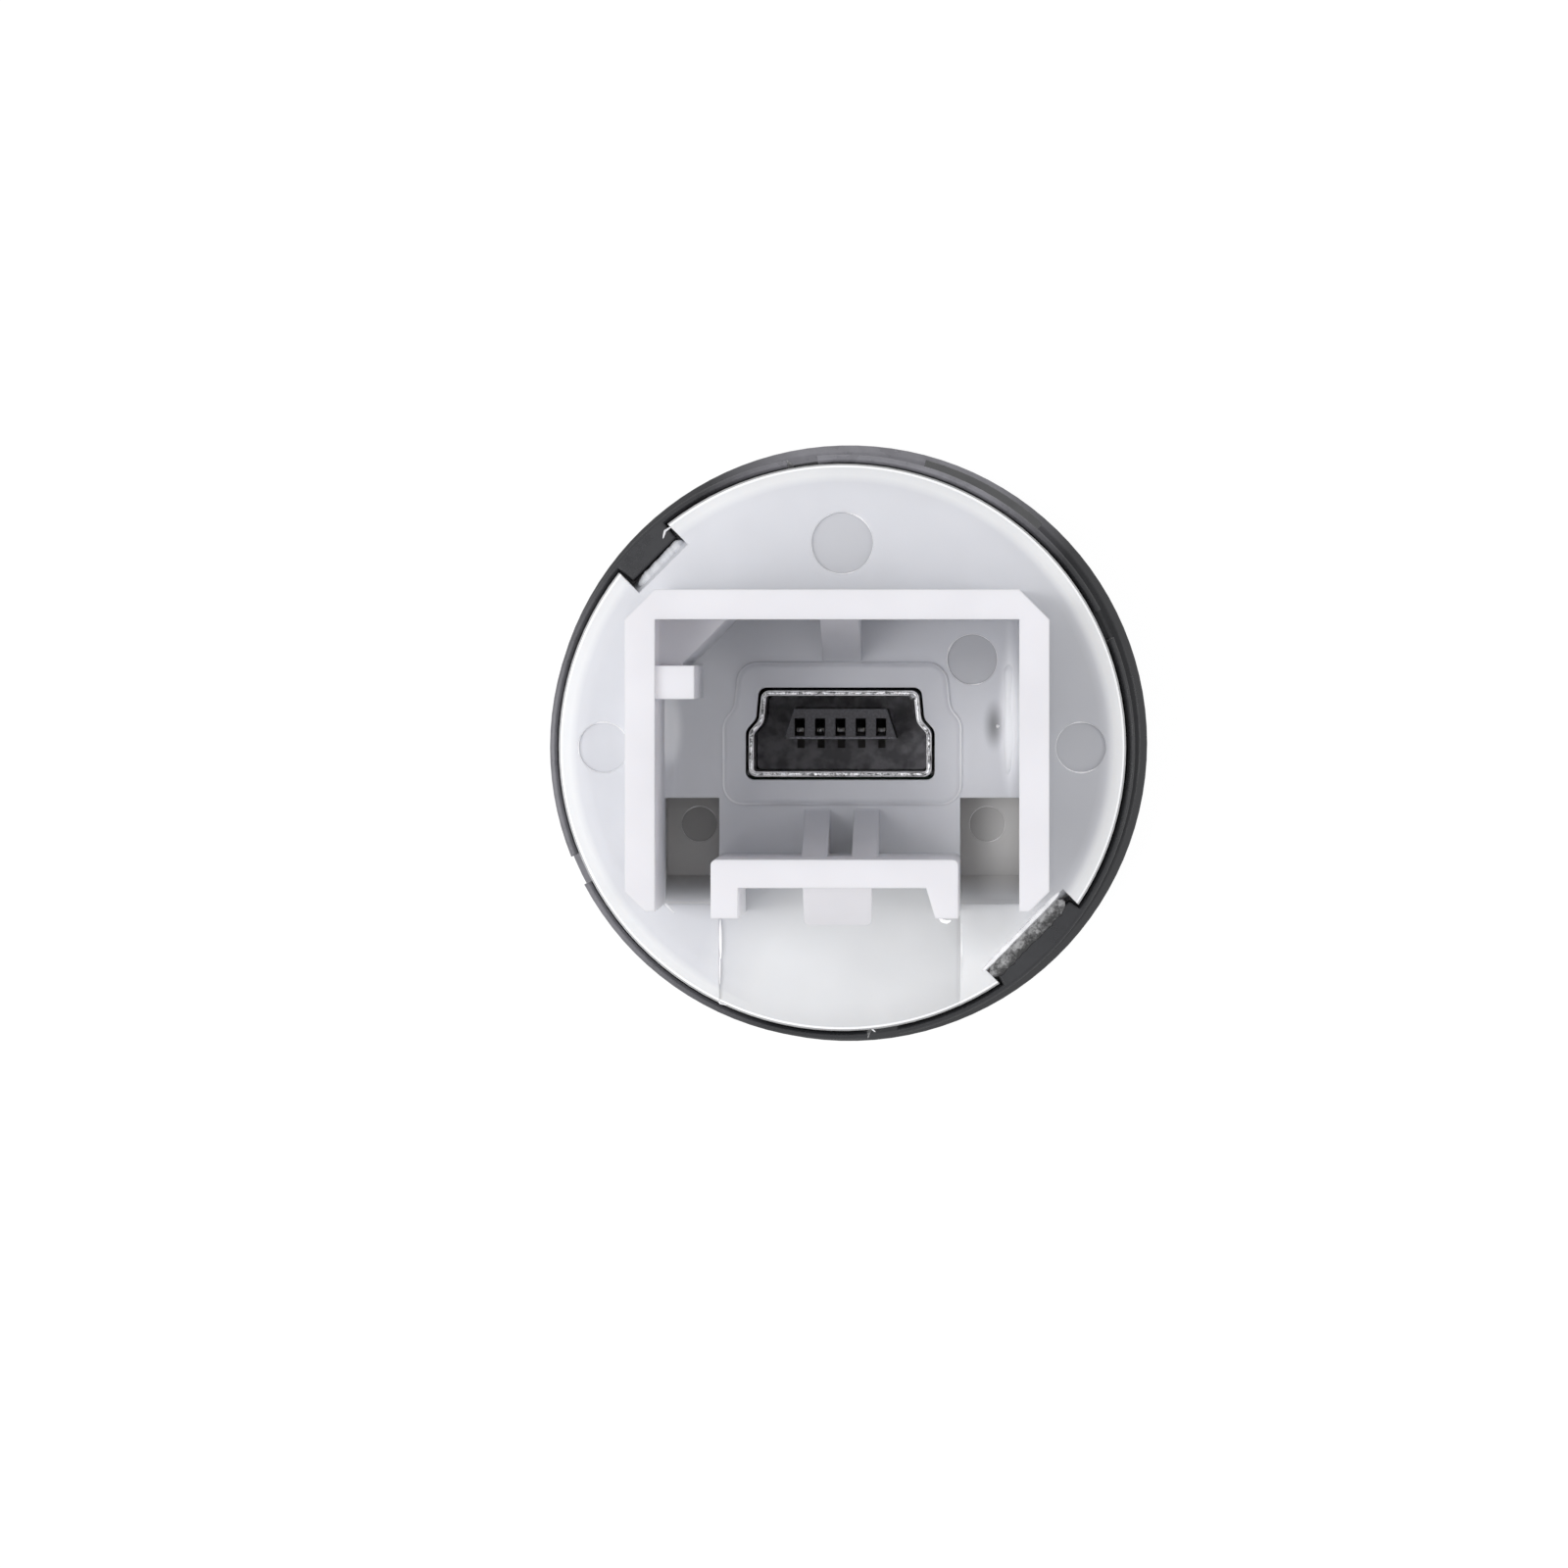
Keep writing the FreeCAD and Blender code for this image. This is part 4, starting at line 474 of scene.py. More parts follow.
def black_plastic_material(settings):
    """Black ABS, injection moulded in a polished tool: a deep gloss with faint streaks and dust-fine dullness.

    The barrel's rim and the flange's back have a pale painted reflection on their upper and lower left sides.
    """
    material, tree, place = new_material("black ABS, polished mould")
    point = located(tree, place)
    streaks = add_node(tree, "TexNoise",
                       {"Vector": place, "Scale": 1 / (0.9 * MM), "Detail": 4.0, "Roughness": 0.6})
    dull = add_node(tree, "MapRange", (streaks, 0.3, 0.7, settings.roughness - 0.08, settings.roughness + 0.1))
    rounded = add_node(tree, "Bevel", {"Radius": settings.edge_round}, samples=6)
    bump = add_node(tree, "Bump", {"Strength": 0.2, "Distance": 0.01 * MM, "Height": streaks, "Normal": rounded})
    high = add_node(tree, "MapRange", (point.z, BARREL_RIM - 1.5 * MM, BARREL_RIM - 0.9 * MM))
    apart = add_node(tree, "Math", (combined(tree, "SUBTRACT", point.z, FLANGE_BACK),), operation="ABSOLUTE")
    back = add_node(tree, "MapRange", (apart, 0.5 * MM, 0.3 * MM))
    faces = combined(tree, "MAXIMUM", high, back)
    # Painted reflection: pale patches on the rim's top and the flange's back, at the top and lower left.
    painted_reflection_place = combined(tree, "MAXIMUM", patch(point, "upper bloom"), patch(point, "lower bloom"))
    patchy = add_node(tree, "MapRange", (streaks, 0.3, 0.6, 0.75, 1.0))
    pale_mottle = combined(tree, "MULTIPLY", painted_reflection_place, faces, patchy)
    colour = add_node(tree, "Mix", {0: pale_mottle, 6: linear(settings.colour), 7: linear(settings.pale_mottle)},
                      data_type="RGBA").outputs[2]
    return finished(material, {"IOR": ABS_IOR, "Base Color": colour, "Roughness": dull, "Normal": bump})


def tinned_steel_material(settings):
    """Cold-rolled steel strip, tin plated and folded: bright, with rolling lines and small dull spots."""
    material, tree, place = new_material("tinned steel strip")
    squeezed = add_node(tree, "Mapping", {"Vector": place, "Scale": (1.0, 1.0, 0.12)})
    lines = add_node(tree, "TexNoise", {"Vector": squeezed, "Scale": 1 / (0.07 * MM), "Detail": 3.0})
    spots = add_node(tree, "TexNoise", {"Vector": place, "Scale": 1 / (0.5 * MM), "Detail": 3.0})
    dull = add_node(tree, "MapRange", (spots, 0.35, 0.65, 0.22, 0.42))
    colour = add_node(tree, "ValToRGB", (spots,), ((0.3, grey(0.42)), (0.7, linear(settings.steel))))
    rounded = add_node(tree, "Bevel", {"Radius": 0.05 * MM}, samples=4)
    bump = add_node(tree, "Bump", {"Strength": 0.3, "Distance": 0.006 * MM, "Height": lines, "Normal": rounded})
    return finished(material, {"Metallic": 1.0, "Base Color": colour, "Roughness": dull, "Normal": bump})


def cut_edge_material():
    """The sheared edge of the steel strip, bare of tin: torn, bright and coarse, with dark and bright patches that are
    partly painted glints.
    """
    material, tree, place = new_material("sheared steel edge")
    torn = add_node(tree, "TexNoise", {"Vector": place, "Scale": 1 / (0.2 * MM), "Detail": 4.0, "Roughness": 0.7})
    # Its dark and bright patches are partly painted glints.
    colour = add_node(tree, "ValToRGB", (torn,), ((0.40, grey(0.14)), (0.49, grey(0.6)), (0.57, grey(0.98))))
    bump = add_node(tree, "Bump", {"Strength": 0.8, "Distance": 0.03 * MM, "Height": torn})
    return finished(material, {"Metallic": 1.0, "Roughness": 0.38, "Base Color": colour, "Normal": bump})


def contact_material(settings):
    """Phosphor bronze strip, stamped and tin flashed: a dull grey metal, brighter where the die rubbed it."""
    material, tree, place = new_material("plated phosphor bronze")
    rubbed = add_node(tree, "TexNoise", {"Vector": place, "Scale": 1 / (0.2 * MM), "Detail": 2.0})
    dull = add_node(tree, "MapRange", (rubbed, 0.35, 0.65, 0.35, 0.55))
    rounded = add_node(tree, "Bevel", {"Radius": 0.04 * MM}, samples=4)
    return finished(material, {"Metallic": 1.0, "Base Color": linear(settings.contact), "Roughness": dull,
                               "Normal": rounded})


def insulator_material():
    """Black glass-filled polyester of a connector's body: matt, with the fibres' fine grey speckle.

    Deep inside the rear connector it is greyer and mottled.
    """
    material, tree, place = new_material("black glass-filled polyester")
    height = add_node(tree, "SeparateXYZ", (place,)).outputs["Z"]
    inside = add_node(tree, "MapRange", (height, MINI_MOUTH - 2.0 * MM, MINI_MOUTH - 5.5 * MM))
    rear = combined(tree, "GREATER_THAN", height, MINI_MOUTH - 9.0 * MM)
    deep = combined(tree, "MULTIPLY", inside, rear)
    pale_mottle = add_node(tree, "TexNoise", {"Vector": place, "Scale": 1 / (0.6 * MM), "Detail": 3.0})
    mottled = add_node(tree, "ValToRGB", (pale_mottle,), ((0.4, linear("#7b797f")), (0.62, linear("#b5b3b9"))))
    fibres = add_node(tree, "TexNoise", {"Vector": place, "Scale": 1 / (0.09 * MM), "Detail": 3.0})
    speckled = add_node(tree, "ValToRGB", (fibres,), ((0.4, linear("#2e2d31")), (0.75, linear("#4b4a50"))))
    colour = add_node(tree, "Mix", {0: deep, 6: speckled, 7: mottled}, data_type="RGBA").outputs[2]
    rounded = add_node(tree, "Bevel", {"Radius": 0.06 * MM}, samples=4)
    bump = add_node(tree, "Bump", {"Strength": 0.3, "Distance": 0.01 * MM, "Height": fibres, "Normal": rounded})
    return finished(material, {"IOR": POLYESTER_IOR, "Roughness": 0.5, "Base Color": colour, "Normal": bump})


def laminate_material():
    """Glass-fibre laminate under green solder mask, which the cloth's weave shows through faintly.

    The weave's bands lie 2 pi / (20 s) apart at a scale s, which is 2.5 mm here.
    """
    material, tree, place = new_material("green solder mask on laminate")
    weave = [add_node(tree, "TexWave", {"Vector": place, "Scale": 125.0, "Distortion": 0.4},
                      wave_type="BANDS", bands_direction=direction).outputs["Fac"] for direction in ("X", "Z")]
    crossed = combined(tree, "MULTIPLY", *weave)
    colour = add_node(tree, "ValToRGB", (crossed,), ((0.0, linear("#0f4a2c")), (1.0, linear("#1b6a3f"))))
    bump = add_node(tree, "Bump", {"Strength": 0.2, "Distance": 0.01 * MM, "Height": crossed})
    return finished(material, {"IOR": 1.5, "Roughness": 0.3, "Base Color": colour, "Normal": bump})


def chip_material():
    """Pressed ferrite and epoxy of the small parts: near black, chalky and pitted."""
    material, tree, place = new_material("pressed ferrite and epoxy")
    pits = add_node(tree, "TexVoronoi", {"Vector": place, "Scale": 1 / (0.1 * MM)})
    colour = add_node(tree, "ValToRGB", (pits,), ((0.0, linear("#1c1a19")), (0.6, linear("#34302d"))))
    bump = add_node(tree, "Bump", {"Strength": 0.3, "Distance": 0.01 * MM, "Height": pits})
    return finished(material, {"IOR": 1.55, "Roughness": 0.6, "Base Color": colour, "Normal": bump})


def node_object(name):
    """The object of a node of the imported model."""
    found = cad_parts[name]
    return found if isinstance(found, bpy.types.Object) else bpy.data.objects[name]


def dress(names, material):
    """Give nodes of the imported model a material."""
    for name in names:
        thing = node_object(name)
        thing.data.materials.clear()
        thing.data.materials.append(material)


def rounded_path(corners, radii, steps=7):
    """A closed outline with an arc of its own radius at each corner, as points across the axis.

    At a corner whose sides turn by an angle a, the arc starts r tan(a / 2) before the corner, and its middle
    lies r away from both sides.
    """
    points = []
    count = len(corners)
    corners = np.array(corners, dtype=float)
    for step in range(count):
        before = corners[step - 1] - corners[step]
        after = corners[(step + 1) % count] - corners[step]
        before = before / np.linalg.norm(before)
        after = after / np.linalg.norm(after)
        half = 0.5 * math.acos(float(np.clip(before @ after, -1.0, 1.0)))
        start = corners[step] + before * radii[step] / math.tan(half)
        end = corners[step] + after * radii[step] / math.tan(half)
        bisector = (before + after) / np.linalg.norm(before + after)
        middle = corners[step] + bisector * radii[step] / math.sin(half)
        first = start - middle
        last = end - middle
        turn = math.atan2(first[0] * last[1] - first[1] * last[0], float(first @ last))
        for share in np.linspace(0.0, 1.0, steps):
            angle = turn * share
            points.append(middle + (first[0] * math.cos(angle) - first[1] * math.sin(angle),
                                    first[0] * math.sin(angle) + first[1] * math.cos(angle)))
    return np.array(points)


def even_path(points, step):
    """A closed outline with its points at even distances of about one step."""
    closed = np.vstack([points, points[:1]])
    along = np.concatenate([[0.0], np.cumsum(np.linalg.norm(np.diff(closed, axis=0), axis=1))])
    count = max(8, int(along[-1] / step))
    places = np.linspace(0.0, along[-1], count, endpoint=False)
    return np.stack([np.interp(places, along, closed[:, 0]), np.interp(places, along, closed[:, 1])], axis=1)


def grid_faces(rows, columns, closed):
    """Faces for rows of points that each run round: the last row meets the first, or both ends get a flat face."""
    row, column = np.meshgrid(np.arange(rows if closed else rows - 1), np.arange(columns), indexing="ij")
    next_row = (row + 1) % rows
    after = (column + 1) % columns
    faces = np.stack([row * columns + column, row * columns + after, next_row * columns + after,
                      next_row * columns + column], axis=-1).reshape(-1, 4).tolist()
    if not closed:
        faces.append(list(range(columns))[::-1])
        faces.append(list(range((rows - 1) * columns, rows * columns)))
    return faces


def tube(points, across, along, closed, sides):
    """A tube round a level path: P(i, t) = C(i) + a(i) cos t N(i) + b(i) sin t Z, N = Z x T.

    T is the path's direction, a and b are the half width and the half height at each point. An open tube is
    closed by a flat face at each end. Returns its points and faces.
    """
    points = np.asarray(points, dtype=float)
    count = len(points)
    if closed:
        direction = np.roll(points, -1, axis=0) - np.roll(points, 1, axis=0)
    else:
        direction = np.gradient(points, axis=0)
    level = np.stack([-direction[:, 1], direction[:, 0], np.zeros(count)], axis=1)
    level /= np.linalg.norm(level, axis=1, keepdims=True)
    turn = np.linspace(0.0, 2 * math.pi, sides, endpoint=False)
    wide = (np.broadcast_to(across, count)[:, None] * np.cos(turn))[..., None] * level[:, None, :]
    tall = (np.broadcast_to(along, count)[:, None] * np.sin(turn))[..., None] * np.array([0.0, 0.0, 1.0])
    surface = (points[:, None, :] + wide + tall).reshape(-1, 3)
    return surface, grid_faces(count, sides, closed)


def joined(parts):
    """Several (points, faces) surfaces as one."""
    points = []
    faces = []
    count = 0
    for surface, quads in parts:
        points.append(surface)
        faces += [[index + count for index in quad] for quad in quads]
        count += len(surface)
    return np.vstack(points), faces


def lifted(points, height):
    """Points across the axis, in millimetres, as places in metres at this height in metres."""
    points = np.asarray(points, dtype=float) * MM
    return np.column_stack([points, np.full(len(points), height)])


def smooth_noise(rng, count, passes):
    """Random values from 0 to 1 round a closed path, evened out by their neighbours a few times."""
    values = rng.random(count)
    for _ in range(passes):
        values = (np.roll(values, 1) + 2 * values + np.roll(values, -1)) / 4
    low = values.min()
    return (values - low) / (values.max() - low)


def mark_lips():
    """The thin lip that the mould leaves round each ejector mark: rings of radius r, height h (0.15 + 0.85 n^2).

    Each mark is its middle, its radius and its height, all in millimetres, and the size of its lip.
    """
    rng = np.random.default_rng(3)
    marks = [
        (9.37, 0.0, 0.99, 24.4, 1.0), (-9.37, 0.0, 0.99, 24.4, 1.0), (0.0, 8.02, 1.21, 24.4, 1.0),
        (5.1, 3.45, 0.99, 24.4, 1.0), (5.68, -3.05, 0.70, 21.2, 0.6), (-5.68, -3.05, 0.70, 21.2, 0.35),
    ]
    rings = []
    for left, up, radius, height, size in marks:
        turn = np.linspace(0.0, 2 * math.pi, 56, endpoint=False)
        ring = np.column_stack([left + radius * np.cos(turn), up + radius * np.sin(turn)])
        rise = size * (0.15 + 0.85 * smooth_noise(rng, len(turn), 8) ** 2)
        rings.append(tube(lifted(ring, height * MM), 0.03 * MM * rise, 0.028 * MM * rise, closed=True, sides=6))
    return joined(rings)


def shell_corners():
    """The corners of the rear shell's outline, in millimetres: half of them, and the same mirrored."""
    side, neck, top = 7.18 / 2, 6.38 / 2, 6.15 / 2
    right = [(side, -1.15), (side, 0.62), (neck, 1.06), (top, 2.23)]
    return right + [(-across, along) for across, along in reversed(right)]


def shell_path():
    """The middle line of the rear shell's sheet, in millimetres: 0.1 inside the outline, which sits 0.08 left."""
    radii = [0.32, 0.45, 0.45, 0.32, 0.32, 0.45, 0.45, 0.32]
    outer = even_path(rounded_path(shell_corners(), radii), 0.07)
    direction = np.roll(outer, -1, axis=0) - np.roll(outer, 1, axis=0)
    direction /= np.linalg.norm(direction, axis=1, keepdims=True)
    inward = np.column_stack([-direction[:, 1], direction[:, 0]])
    return outer + 0.1 * inward + (-0.08, 0.0)


def shell_burr(height):
    """The torn lip that shearing leaves on the shell's edge, a tube with fine noise n and slow noise s.

    Its half height is h (0.2 + 0.8 n^2 (0.4 + 0.6 s)), its half width w (0.55 + 0.45 s).
    """
    rng = np.random.default_rng(11)
    line = shell_path()
    rough = smooth_noise(rng, len(line), 1)
    slow = smooth_noise(rng, len(line), 12)
    shifted = line + 0.035 * (smooth_noise(rng, len(line), 2)[:, None] - 0.5)
    across = 0.075 * MM * (0.55 + 0.45 * slow)
    along = height * (0.2 + 0.8 * rough ** 2 * (0.4 + 0.6 * slow))
    return tube(lifted(shifted, MINI_MOUTH), across, along, closed=True, sides=6)


def bead(place, half_size, height, seed, rows=10, columns=16):
    """A lumpy bead: an ellipsoid whose radius is 1 + 0.18 sin(3 u + s) cos(2 v), half sunk at its place."""
    low, high = -math.pi / 2, math.pi / 2
    v, u = np.meshgrid(np.linspace(low, high, rows + 2)[1:-1], np.linspace(0, 2 * math.pi, columns, endpoint=False),
                       indexing="ij")
    swell = 1 + 0.18 * np.sin(3 * u + seed) * np.cos(2 * v)
    points = np.stack([place[0] + half_size[0] * swell * np.cos(v) * np.cos(u),
                       place[1] + half_size[1] * swell * np.cos(v) * np.sin(u),
                       height / MM + half_size[2] * swell * np.sin(v)], axis=-1).reshape(-1, 3) * MM
    return points, grid_faces(rows, columns, closed=False)


def wall_fold():
    """The wavy fold at the foot of the right wall: a bead along Y, half width w (0.78 + 0.22 sin(k y + s)) f.

    The factor f fades both ends out over 0.8 mm.
    """
    start, end = -1.6, 3.8
    up = np.linspace(start, end, 70)
    wave = np.sin(2.2 * up + 0.6)
    fade = np.clip(np.minimum(up - start, end - up) / 0.8, 0.15, 1.0)
    line = np.column_stack([6.54 + 0.04 * wave, up])
    wide = 0.34 * MM * (0.78 + 0.22 * wave) * fade
    return tube(lifted(line, PLATE_TOP - 0.16 * MM), wide, 0.25 * MM * fade, closed=False, sides=20)


def strip(start, end, height, wide, tall, seed):
    """An uneven bar along a straight line in millimetres: half sizes w and h, times (0.8 + 0.2 n) (1 - u^12)."""
    rng = np.random.default_rng(seed)
    count = 60
    line = np.array(start) + np.linspace(0.0, 1.0, count)[:, None] * (np.array(end) - np.array(start))
    ends = 1.0 - np.linspace(-0.98, 0.98, count) ** 12
    uneven = (0.8 + 0.2 * smooth_noise(rng, count, 2)) * ends
    return tube(lifted(line, height * MM), wide * MM * uneven, tall * MM * uneven, closed=False, sides=12)


def upper_notch_ledge():
    """The pale ledge that the cap's plate has in the notch at the upper left."""
    return strip((-7.96, 6.28), (-6.28, 8.09), 23.62, 0.3, 0.36, 5)


def lower_notch_scuff():
    """The crest of black plastic that the cap's notch at the lower right scraped up."""
    return strip((5.83, -8.97), (8.7, -6.02), 23.81, 0.36, 0.06, 6)


def lower_notch_lip():
    """The lip of the plate along the notch at the lower right, brightened by painted light."""
    return strip((5.51, -8.77), (8.51, -5.7), 24.4, 0.1, 0.08, 7)


def tongue_lip():
    """The lower edge of the rear connector's tongue, whose lighter line is a painted highlight."""
    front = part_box("mini_usb_insulator")[1][2] / MM
    return strip((-2.17, 0.36), (2.13, 0.36), front, 0.045, 0.03, 8)


def contact_tips():
    """The rounded bright tips of the rear connector's five contacts, one bead each."""
    beads = []
    for number in range(1, 6):
        low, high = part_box(f"mini_usb_contact_{number}")
        middle = (low[0] + high[0]) / 2 / MM
        beads.append(bead((middle, 0.66), (0.1, 0.075, 0.025), high[2], number))
    return joined(beads)


def flash_lines():
    """Fine lines of flash on the cap: each is (points in millimetres, height, half width, half height).

    Their half sizes are times 0.3 + 0.7 sin u, which tapers both ends.
    """
    lines = [
        ([(-7.1, -6.0), (-6.87, -6.22), (-6.6, -6.5)], 24.4, 0.03, 0.03),
        ([(-4.79, -6.75), (-4.78, -7.5), (-4.77, -8.3)], 24.4, 0.06, 0.05),
        ([(-4.8, -8.2), (-4.8, -8.8), (-4.8, -9.3)], 24.4, 0.03, 0.03),
        ([(4.68, -6.9), (4.69, -8.0), (4.7, -9.1)], 24.4, 0.03, 0.03),
        ([(0.95, -10.98), (1.15, -11.05), (1.3, -11.18)], 24.15, 0.035, 0.03),
        ([(-4.9, -9.9), (-4.8, -10.05), (-4.55, -10.12)], 24.3, 0.03, 0.03),
        ([(-7.05, 8.2), (-6.97, 8.5), (-6.7, 8.68)], 23.82, 0.05, 0.035),
        ([(3.85, -6.3), (4.0, -6.5), (4.18, -6.56), (4.35, -6.5)], 39.9, 0.07, 0.05),
    ]
    parts = []
    for points, height, wide, tall in lines:
        line = np.array(points)
        share = np.linspace(0, len(line) - 1, 6 * len(line))
        line = np.column_stack([np.interp(share, np.arange(len(line)), line[:, axis]) for axis in (0, 1)])
        taper = 0.3 + 0.7 * np.sin(np.linspace(0.1, math.pi - 0.1, len(line)))
        parts.append(tube(lifted(line, height * MM), wide * MM * taper, tall * MM * taper, closed=False, sides=6))
    return joined(parts)


def new_piece(name, points, faces, material, slot):
    """A smooth piece of these points in metres, which rides on the part's one body."""
    mesh = bpy.data.meshes.new(name)
    mesh.from_pydata(np.asarray(points).tolist(), [], [list(map(int, face)) for face in faces])
    mesh.update()
    mesh.polygons.foreach_set("use_smooth", np.ones(len(mesh.polygons), dtype=bool))
    mesh.materials.append(material)
    piece = bpy.data.objects.new(name, mesh)
    bpy.context.scene.collection.objects.link(piece)
    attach(piece, ROOT)
    return piece


def camera_place(stage):
    """The camera's place and its three directions: right, up and forward.

    It looks so that the barrel's axis meets the plate's top in AXIS_PIXEL.
    """
    place = Vector((stage.camera_side, stage.camera_up, PLATE_TOP + stage.camera_height))
    middle = PICTURE_SIDE / 2
    per_pixel = stage.camera_height / FOCAL_PIXELS
    aim = Vector((-(AXIS_PIXEL[0] - middle) * per_pixel, -(middle - AXIS_PIXEL[1]) * per_pixel, PLATE_TOP))
    forward = (aim - place).normalized()
    right = forward.cross(Vector((0, 1, 0))).normalized()
    up = right.cross(forward)
    return place, right, up, forward


def seen_share(tree, *kinds):
    """1 for these kinds of ray and 0 for all others."""
    rays = add_node(tree, "LightPath")
    return combined(tree, "MAXIMUM", *(rays.outputs[f"Is {kind} Ray"] for kind in kinds))


class SOCKET_OT_cap(bpy.types.Operator):
    """Give the cap its nylon"""
    bl_idname = "socket.cap"
    bl_label = "Cap"

    def execute(self, context):
        dress(["rear_cap"], nylon_material(context.scene.socket_cap))
        return {"FINISHED"}


class SOCKET_OT_barrel(bpy.types.Operator):
    """Give the barrel its black plastic"""
    bl_idname = "socket.barrel"
    bl_label = "Barrel"

    def execute(self, context):
        dress(["barrel_housing"], black_plastic_material(context.scene.socket_barrel))
        return {"FINISHED"}


class SOCKET_OT_traces(bpy.types.Operator):
    """Add what moulding and shearing leave: lips, burr, fold, gate and flash"""
    bl_idname = "socket.traces"
    bl_label = "Traces"

    def execute(self, context):
        nylon = node_object("rear_cap").data.materials[0]
        flash = flash_material(context.scene.socket_cap)
        torn = cut_edge_material()
        scuffed = scuffed_plastic_painted_reflection_material()
        slot = "natural_nylon"
        # The flash material's glow is painted light: it brightens the marks' lips, the gate's vestige, the notch's lip
        # and the flash lines.
        new_piece("ejector_mark_lips", *mark_lips(), flash, slot)
        new_piece("gate_vestige", *bead(GATE, (0.07, 0.07, 0.06), PLATE_TOP, 1.0), flash, slot)
        new_piece("wall_fold", *wall_fold(), nylon, slot)
        new_piece("upper_notch_ledge", *upper_notch_ledge(), nylon, slot)
        new_piece("lower_notch_lip", *lower_notch_lip(), flash, slot)
        # The scuffed crest's grey is a painted reflection.
        new_piece("lower_notch_scuff", *lower_notch_scuff(), scuffed, "black_plastic")
        new_piece("flash_lines", *flash_lines(), flash, slot)
        new_piece("shell_burr", *shell_burr(context.scene.socket_metal.burr), torn, "tinned_steel")
        new_piece("shell_bead", *bead((2.74, 1.97), (0.15, 0.13, 0.1), MINI_MOUTH, 2.0), torn, "tinned_steel")
        # The tongue's lighter lower edge is a painted highlight.
        new_piece("tongue_lip", *tongue_lip(), insulator_painted_highlight_material(), "black_insulator")
        new_piece("contact_tips", *contact_tips(), node_object("mini_usb_shell").data.materials[0], "contact_metal")
        return {"FINISHED"}


class SOCKET_OT_connectors(bpy.types.Operator):
    """Give both connectors their steel, plastic and plating"""
    bl_idname = "socket.connectors"
    bl_label = "Connectors"

    def execute(self, context):
        settings = context.scene.socket_metal
        dress(["mini_usb_shell", "usb_a_shell"], tinned_steel_material(settings))
        dress(["mini_usb_insulator", "usb_a_insulator"], insulator_material())
        contacts = [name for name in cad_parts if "_contact_" in name]
        dress(contacts, contact_material(settings))
        return {"FINISHED"}


class SOCKET_OT_board(bpy.types.Operator):
    """Give the board and its small parts their finishes"""
    bl_idname = "socket.board"
    bl_label = "Board"

    def execute(self, context):
        dress(["circuit_board"], laminate_material())
        dress(["common_mode_choke", "esd_array", "filter_capacitor", "ferrite_bead"], chip_material())
        return {"FINISHED"}


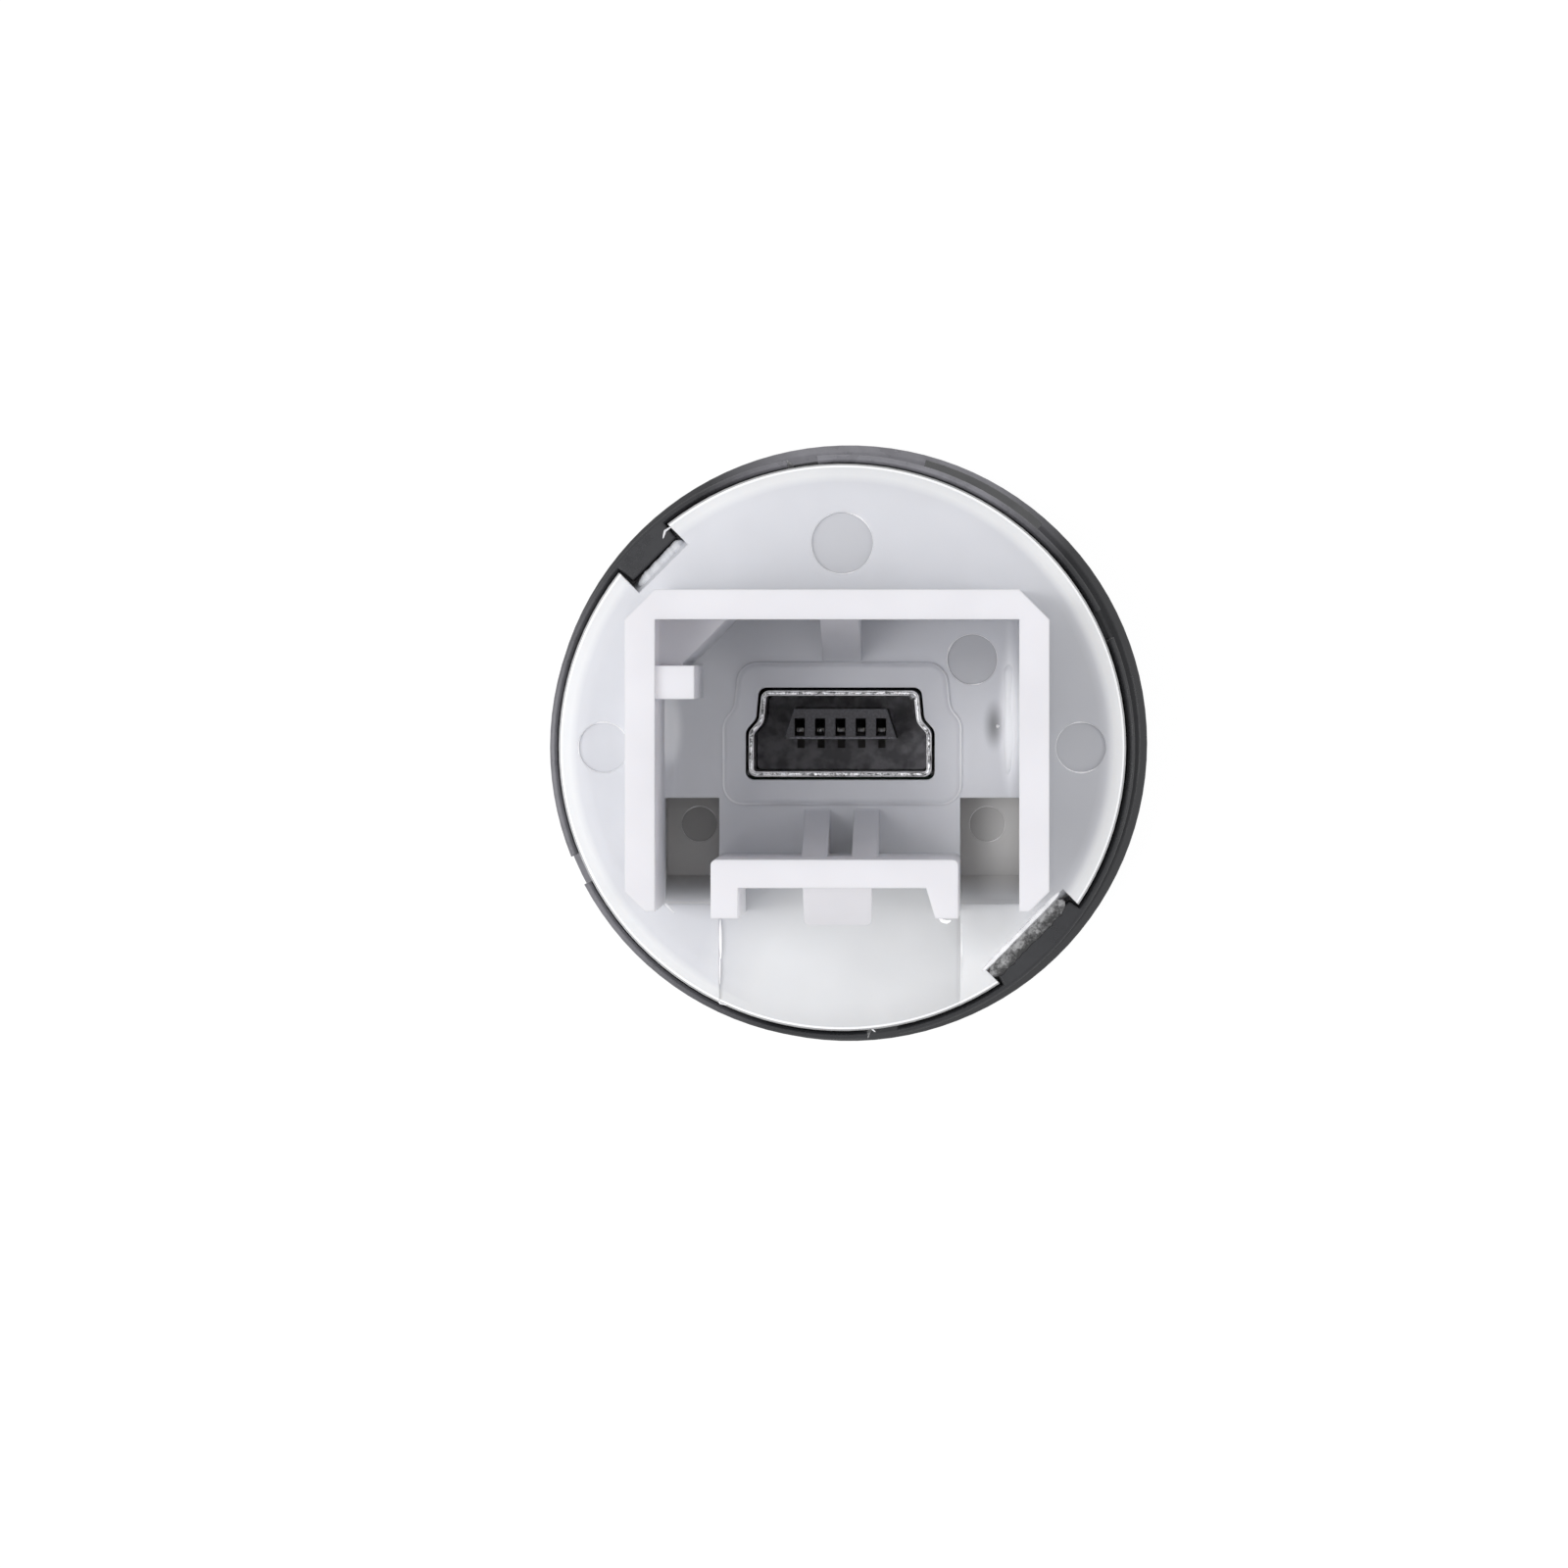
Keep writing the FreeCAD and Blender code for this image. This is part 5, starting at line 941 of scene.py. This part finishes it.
class SOCKET_OT_stage(bpy.types.Operator):
    """Set the camera, the lamps, the even light and the floor"""
    bl_idname = "socket.stage"
    bl_label = "Stage"

    def execute(self, context):
        stage = context.scene.socket_stage
        context.scene.view_settings.view_transform = "Standard"
        self.add_camera(context, stage)
        self.add_lamps(context, stage)
        self.set_world(context, stage)
        self.add_floor(context, stage)
        return {"FINISHED"}

    def add_camera(self, context, stage):
        """The camera that matches the picture."""
        place, right, up, forward = camera_place(stage)
        lens = bpy.data.cameras.new("camera")
        lens.sensor_width = SENSOR
        lens.lens = SENSOR * FOCAL_PIXELS / PICTURE_SIDE
        lens.clip_start = 0.01
        lens.clip_end = 10.0
        camera = bpy.data.objects.new("camera", lens)
        camera.location = place
        camera.rotation_euler = Matrix((right, up, -forward)).transposed().to_euler()
        context.scene.collection.objects.link(camera)
        context.scene.camera = camera

    def add_lamps(self, context, stage):
        """Four soft lamps a metre away: each has a tilt from overhead, a turn round the axis and a side."""
        lamps = (
            ("key_lamp", stage.key_power, 45, 176, 0.40),
            ("top_lamp", stage.top_power, 21, 186, 0.36),
            ("side_lamp", stage.side_power, 50, 0, 0.36),
            ("low_lamp", stage.low_power, 48, 226, 0.18),
        )
        for name, power, tilt, turn, side in lamps:
            lamp = bpy.data.lights.new(name, "AREA")
            lamp.size = side
            lamp.energy = power
            lamp.color = LIGHT
            across = math.sin(math.radians(tilt))
            place = Vector((across * math.cos(math.radians(turn)), across * math.sin(math.radians(turn)),
                            math.cos(math.radians(tilt))))
            thing = bpy.data.objects.new(name, lamp)
            thing.location = place
            thing.rotation_euler = place.to_track_quat("Z", "Y").to_euler()
            context.scene.collection.objects.link(thing)

    def set_world(self, context, stage):
        """Even light from all sides, white where it is seen and weaker where it lights."""
        world = bpy.data.worlds.new("pale_studio")
        context.scene.world = world
        world.use_nodes = True
        tree = world.node_tree
        tree.nodes.clear()
        seen = seen_share(tree, "Camera", "Glossy", "Transmission")
        strength = add_node(tree, "Mix", {0: seen, 2: stage.ambient, 3: 1.0}, data_type="FLOAT")
        sky = add_node(tree, "Background", {"Color": (*LIGHT, 1.0), "Strength": strength})
        add_node(tree, "OutputWorld", (sky,))

    def add_floor(self, context, stage):
        """A painted floor: it lights the part as paint does, and is seen nearly as white as the sky."""
        side = FLOOR_SIDE
        corners = [(-side, -side, 0), (side, -side, 0), (side, side, 0), (-side, side, 0)]
        mesh = bpy.data.meshes.new("floor")
        mesh.from_pydata(corners, [], [(0, 1, 2, 3)])
        floor = bpy.data.objects.new("floor", mesh)
        context.scene.collection.objects.link(floor)
        material, tree, _ = new_material("painted board floor")
        seen = seen_share(tree, "Camera", "Glossy")
        paint = add_node(tree, "BsdfDiffuse", {"Color": linear(stage.floor)})
        faint = add_node(tree, "BsdfDiffuse", {"Color": grey(FLOOR_PAINT)})
        light = add_node(tree, "Emission", {"Color": grey(1.0), "Strength": FLOOR_GLOW})
        pale = add_node(tree, "AddShader", (faint, light))
        add_node(tree, "OutputMaterial", (add_node(tree, "MixShader", (seen, paint, pale)),))
        mesh.materials.append(material)


class SOCKET_PT_panel(bpy.types.Panel):
    """Lists the steps that dress the socket"""
    bl_idname = "SOCKET_PT_panel"
    bl_label = "Panel USB Socket"
    bl_space_type = "VIEW_3D"
    bl_region_type = "UI"
    bl_category = "Socket"

    def draw(self, context):
        for operator in OPERATORS:
            self.layout.operator(operator.bl_idname)
        for name in GROUPS:
            settings = getattr(context.scene, name)
            for setting in settings.bl_rna.properties.keys():
                if setting not in ("rna_type", "name"):
                    self.layout.prop(settings, setting)


GROUPS = {
    "socket_cap": SOCKET_PG_cap,
    "socket_barrel": SOCKET_PG_barrel,
    "socket_metal": SOCKET_PG_metal,
    "socket_stage": SOCKET_PG_stage,
}
OPERATORS = [SOCKET_OT_cap, SOCKET_OT_barrel, SOCKET_OT_connectors, SOCKET_OT_board, SOCKET_OT_traces,
             SOCKET_OT_stage]


def register():
    for name, group in GROUPS.items():
        bpy.utils.register_class(group)
        setattr(bpy.types.Scene, name, bpy.props.PointerProperty(type=group))
    for item in OPERATORS + [SOCKET_PT_panel]:
        bpy.utils.register_class(item)


def unregister():
    for item in reversed(OPERATORS + [SOCKET_PT_panel]):
        bpy.utils.unregister_class(item)
    for name, group in reversed(list(GROUPS.items())):
        delattr(bpy.types.Scene, name)
        bpy.utils.unregister_class(group)


def main():
    register()
    for step in (bpy.ops.socket.cap, bpy.ops.socket.barrel, bpy.ops.socket.connectors, bpy.ops.socket.board,
                 bpy.ops.socket.traces, bpy.ops.socket.stage):
        if step() != {"FINISHED"}:
            raise RuntimeError("a step of the socket did not finish")


if __name__ == "__main__":
    main()
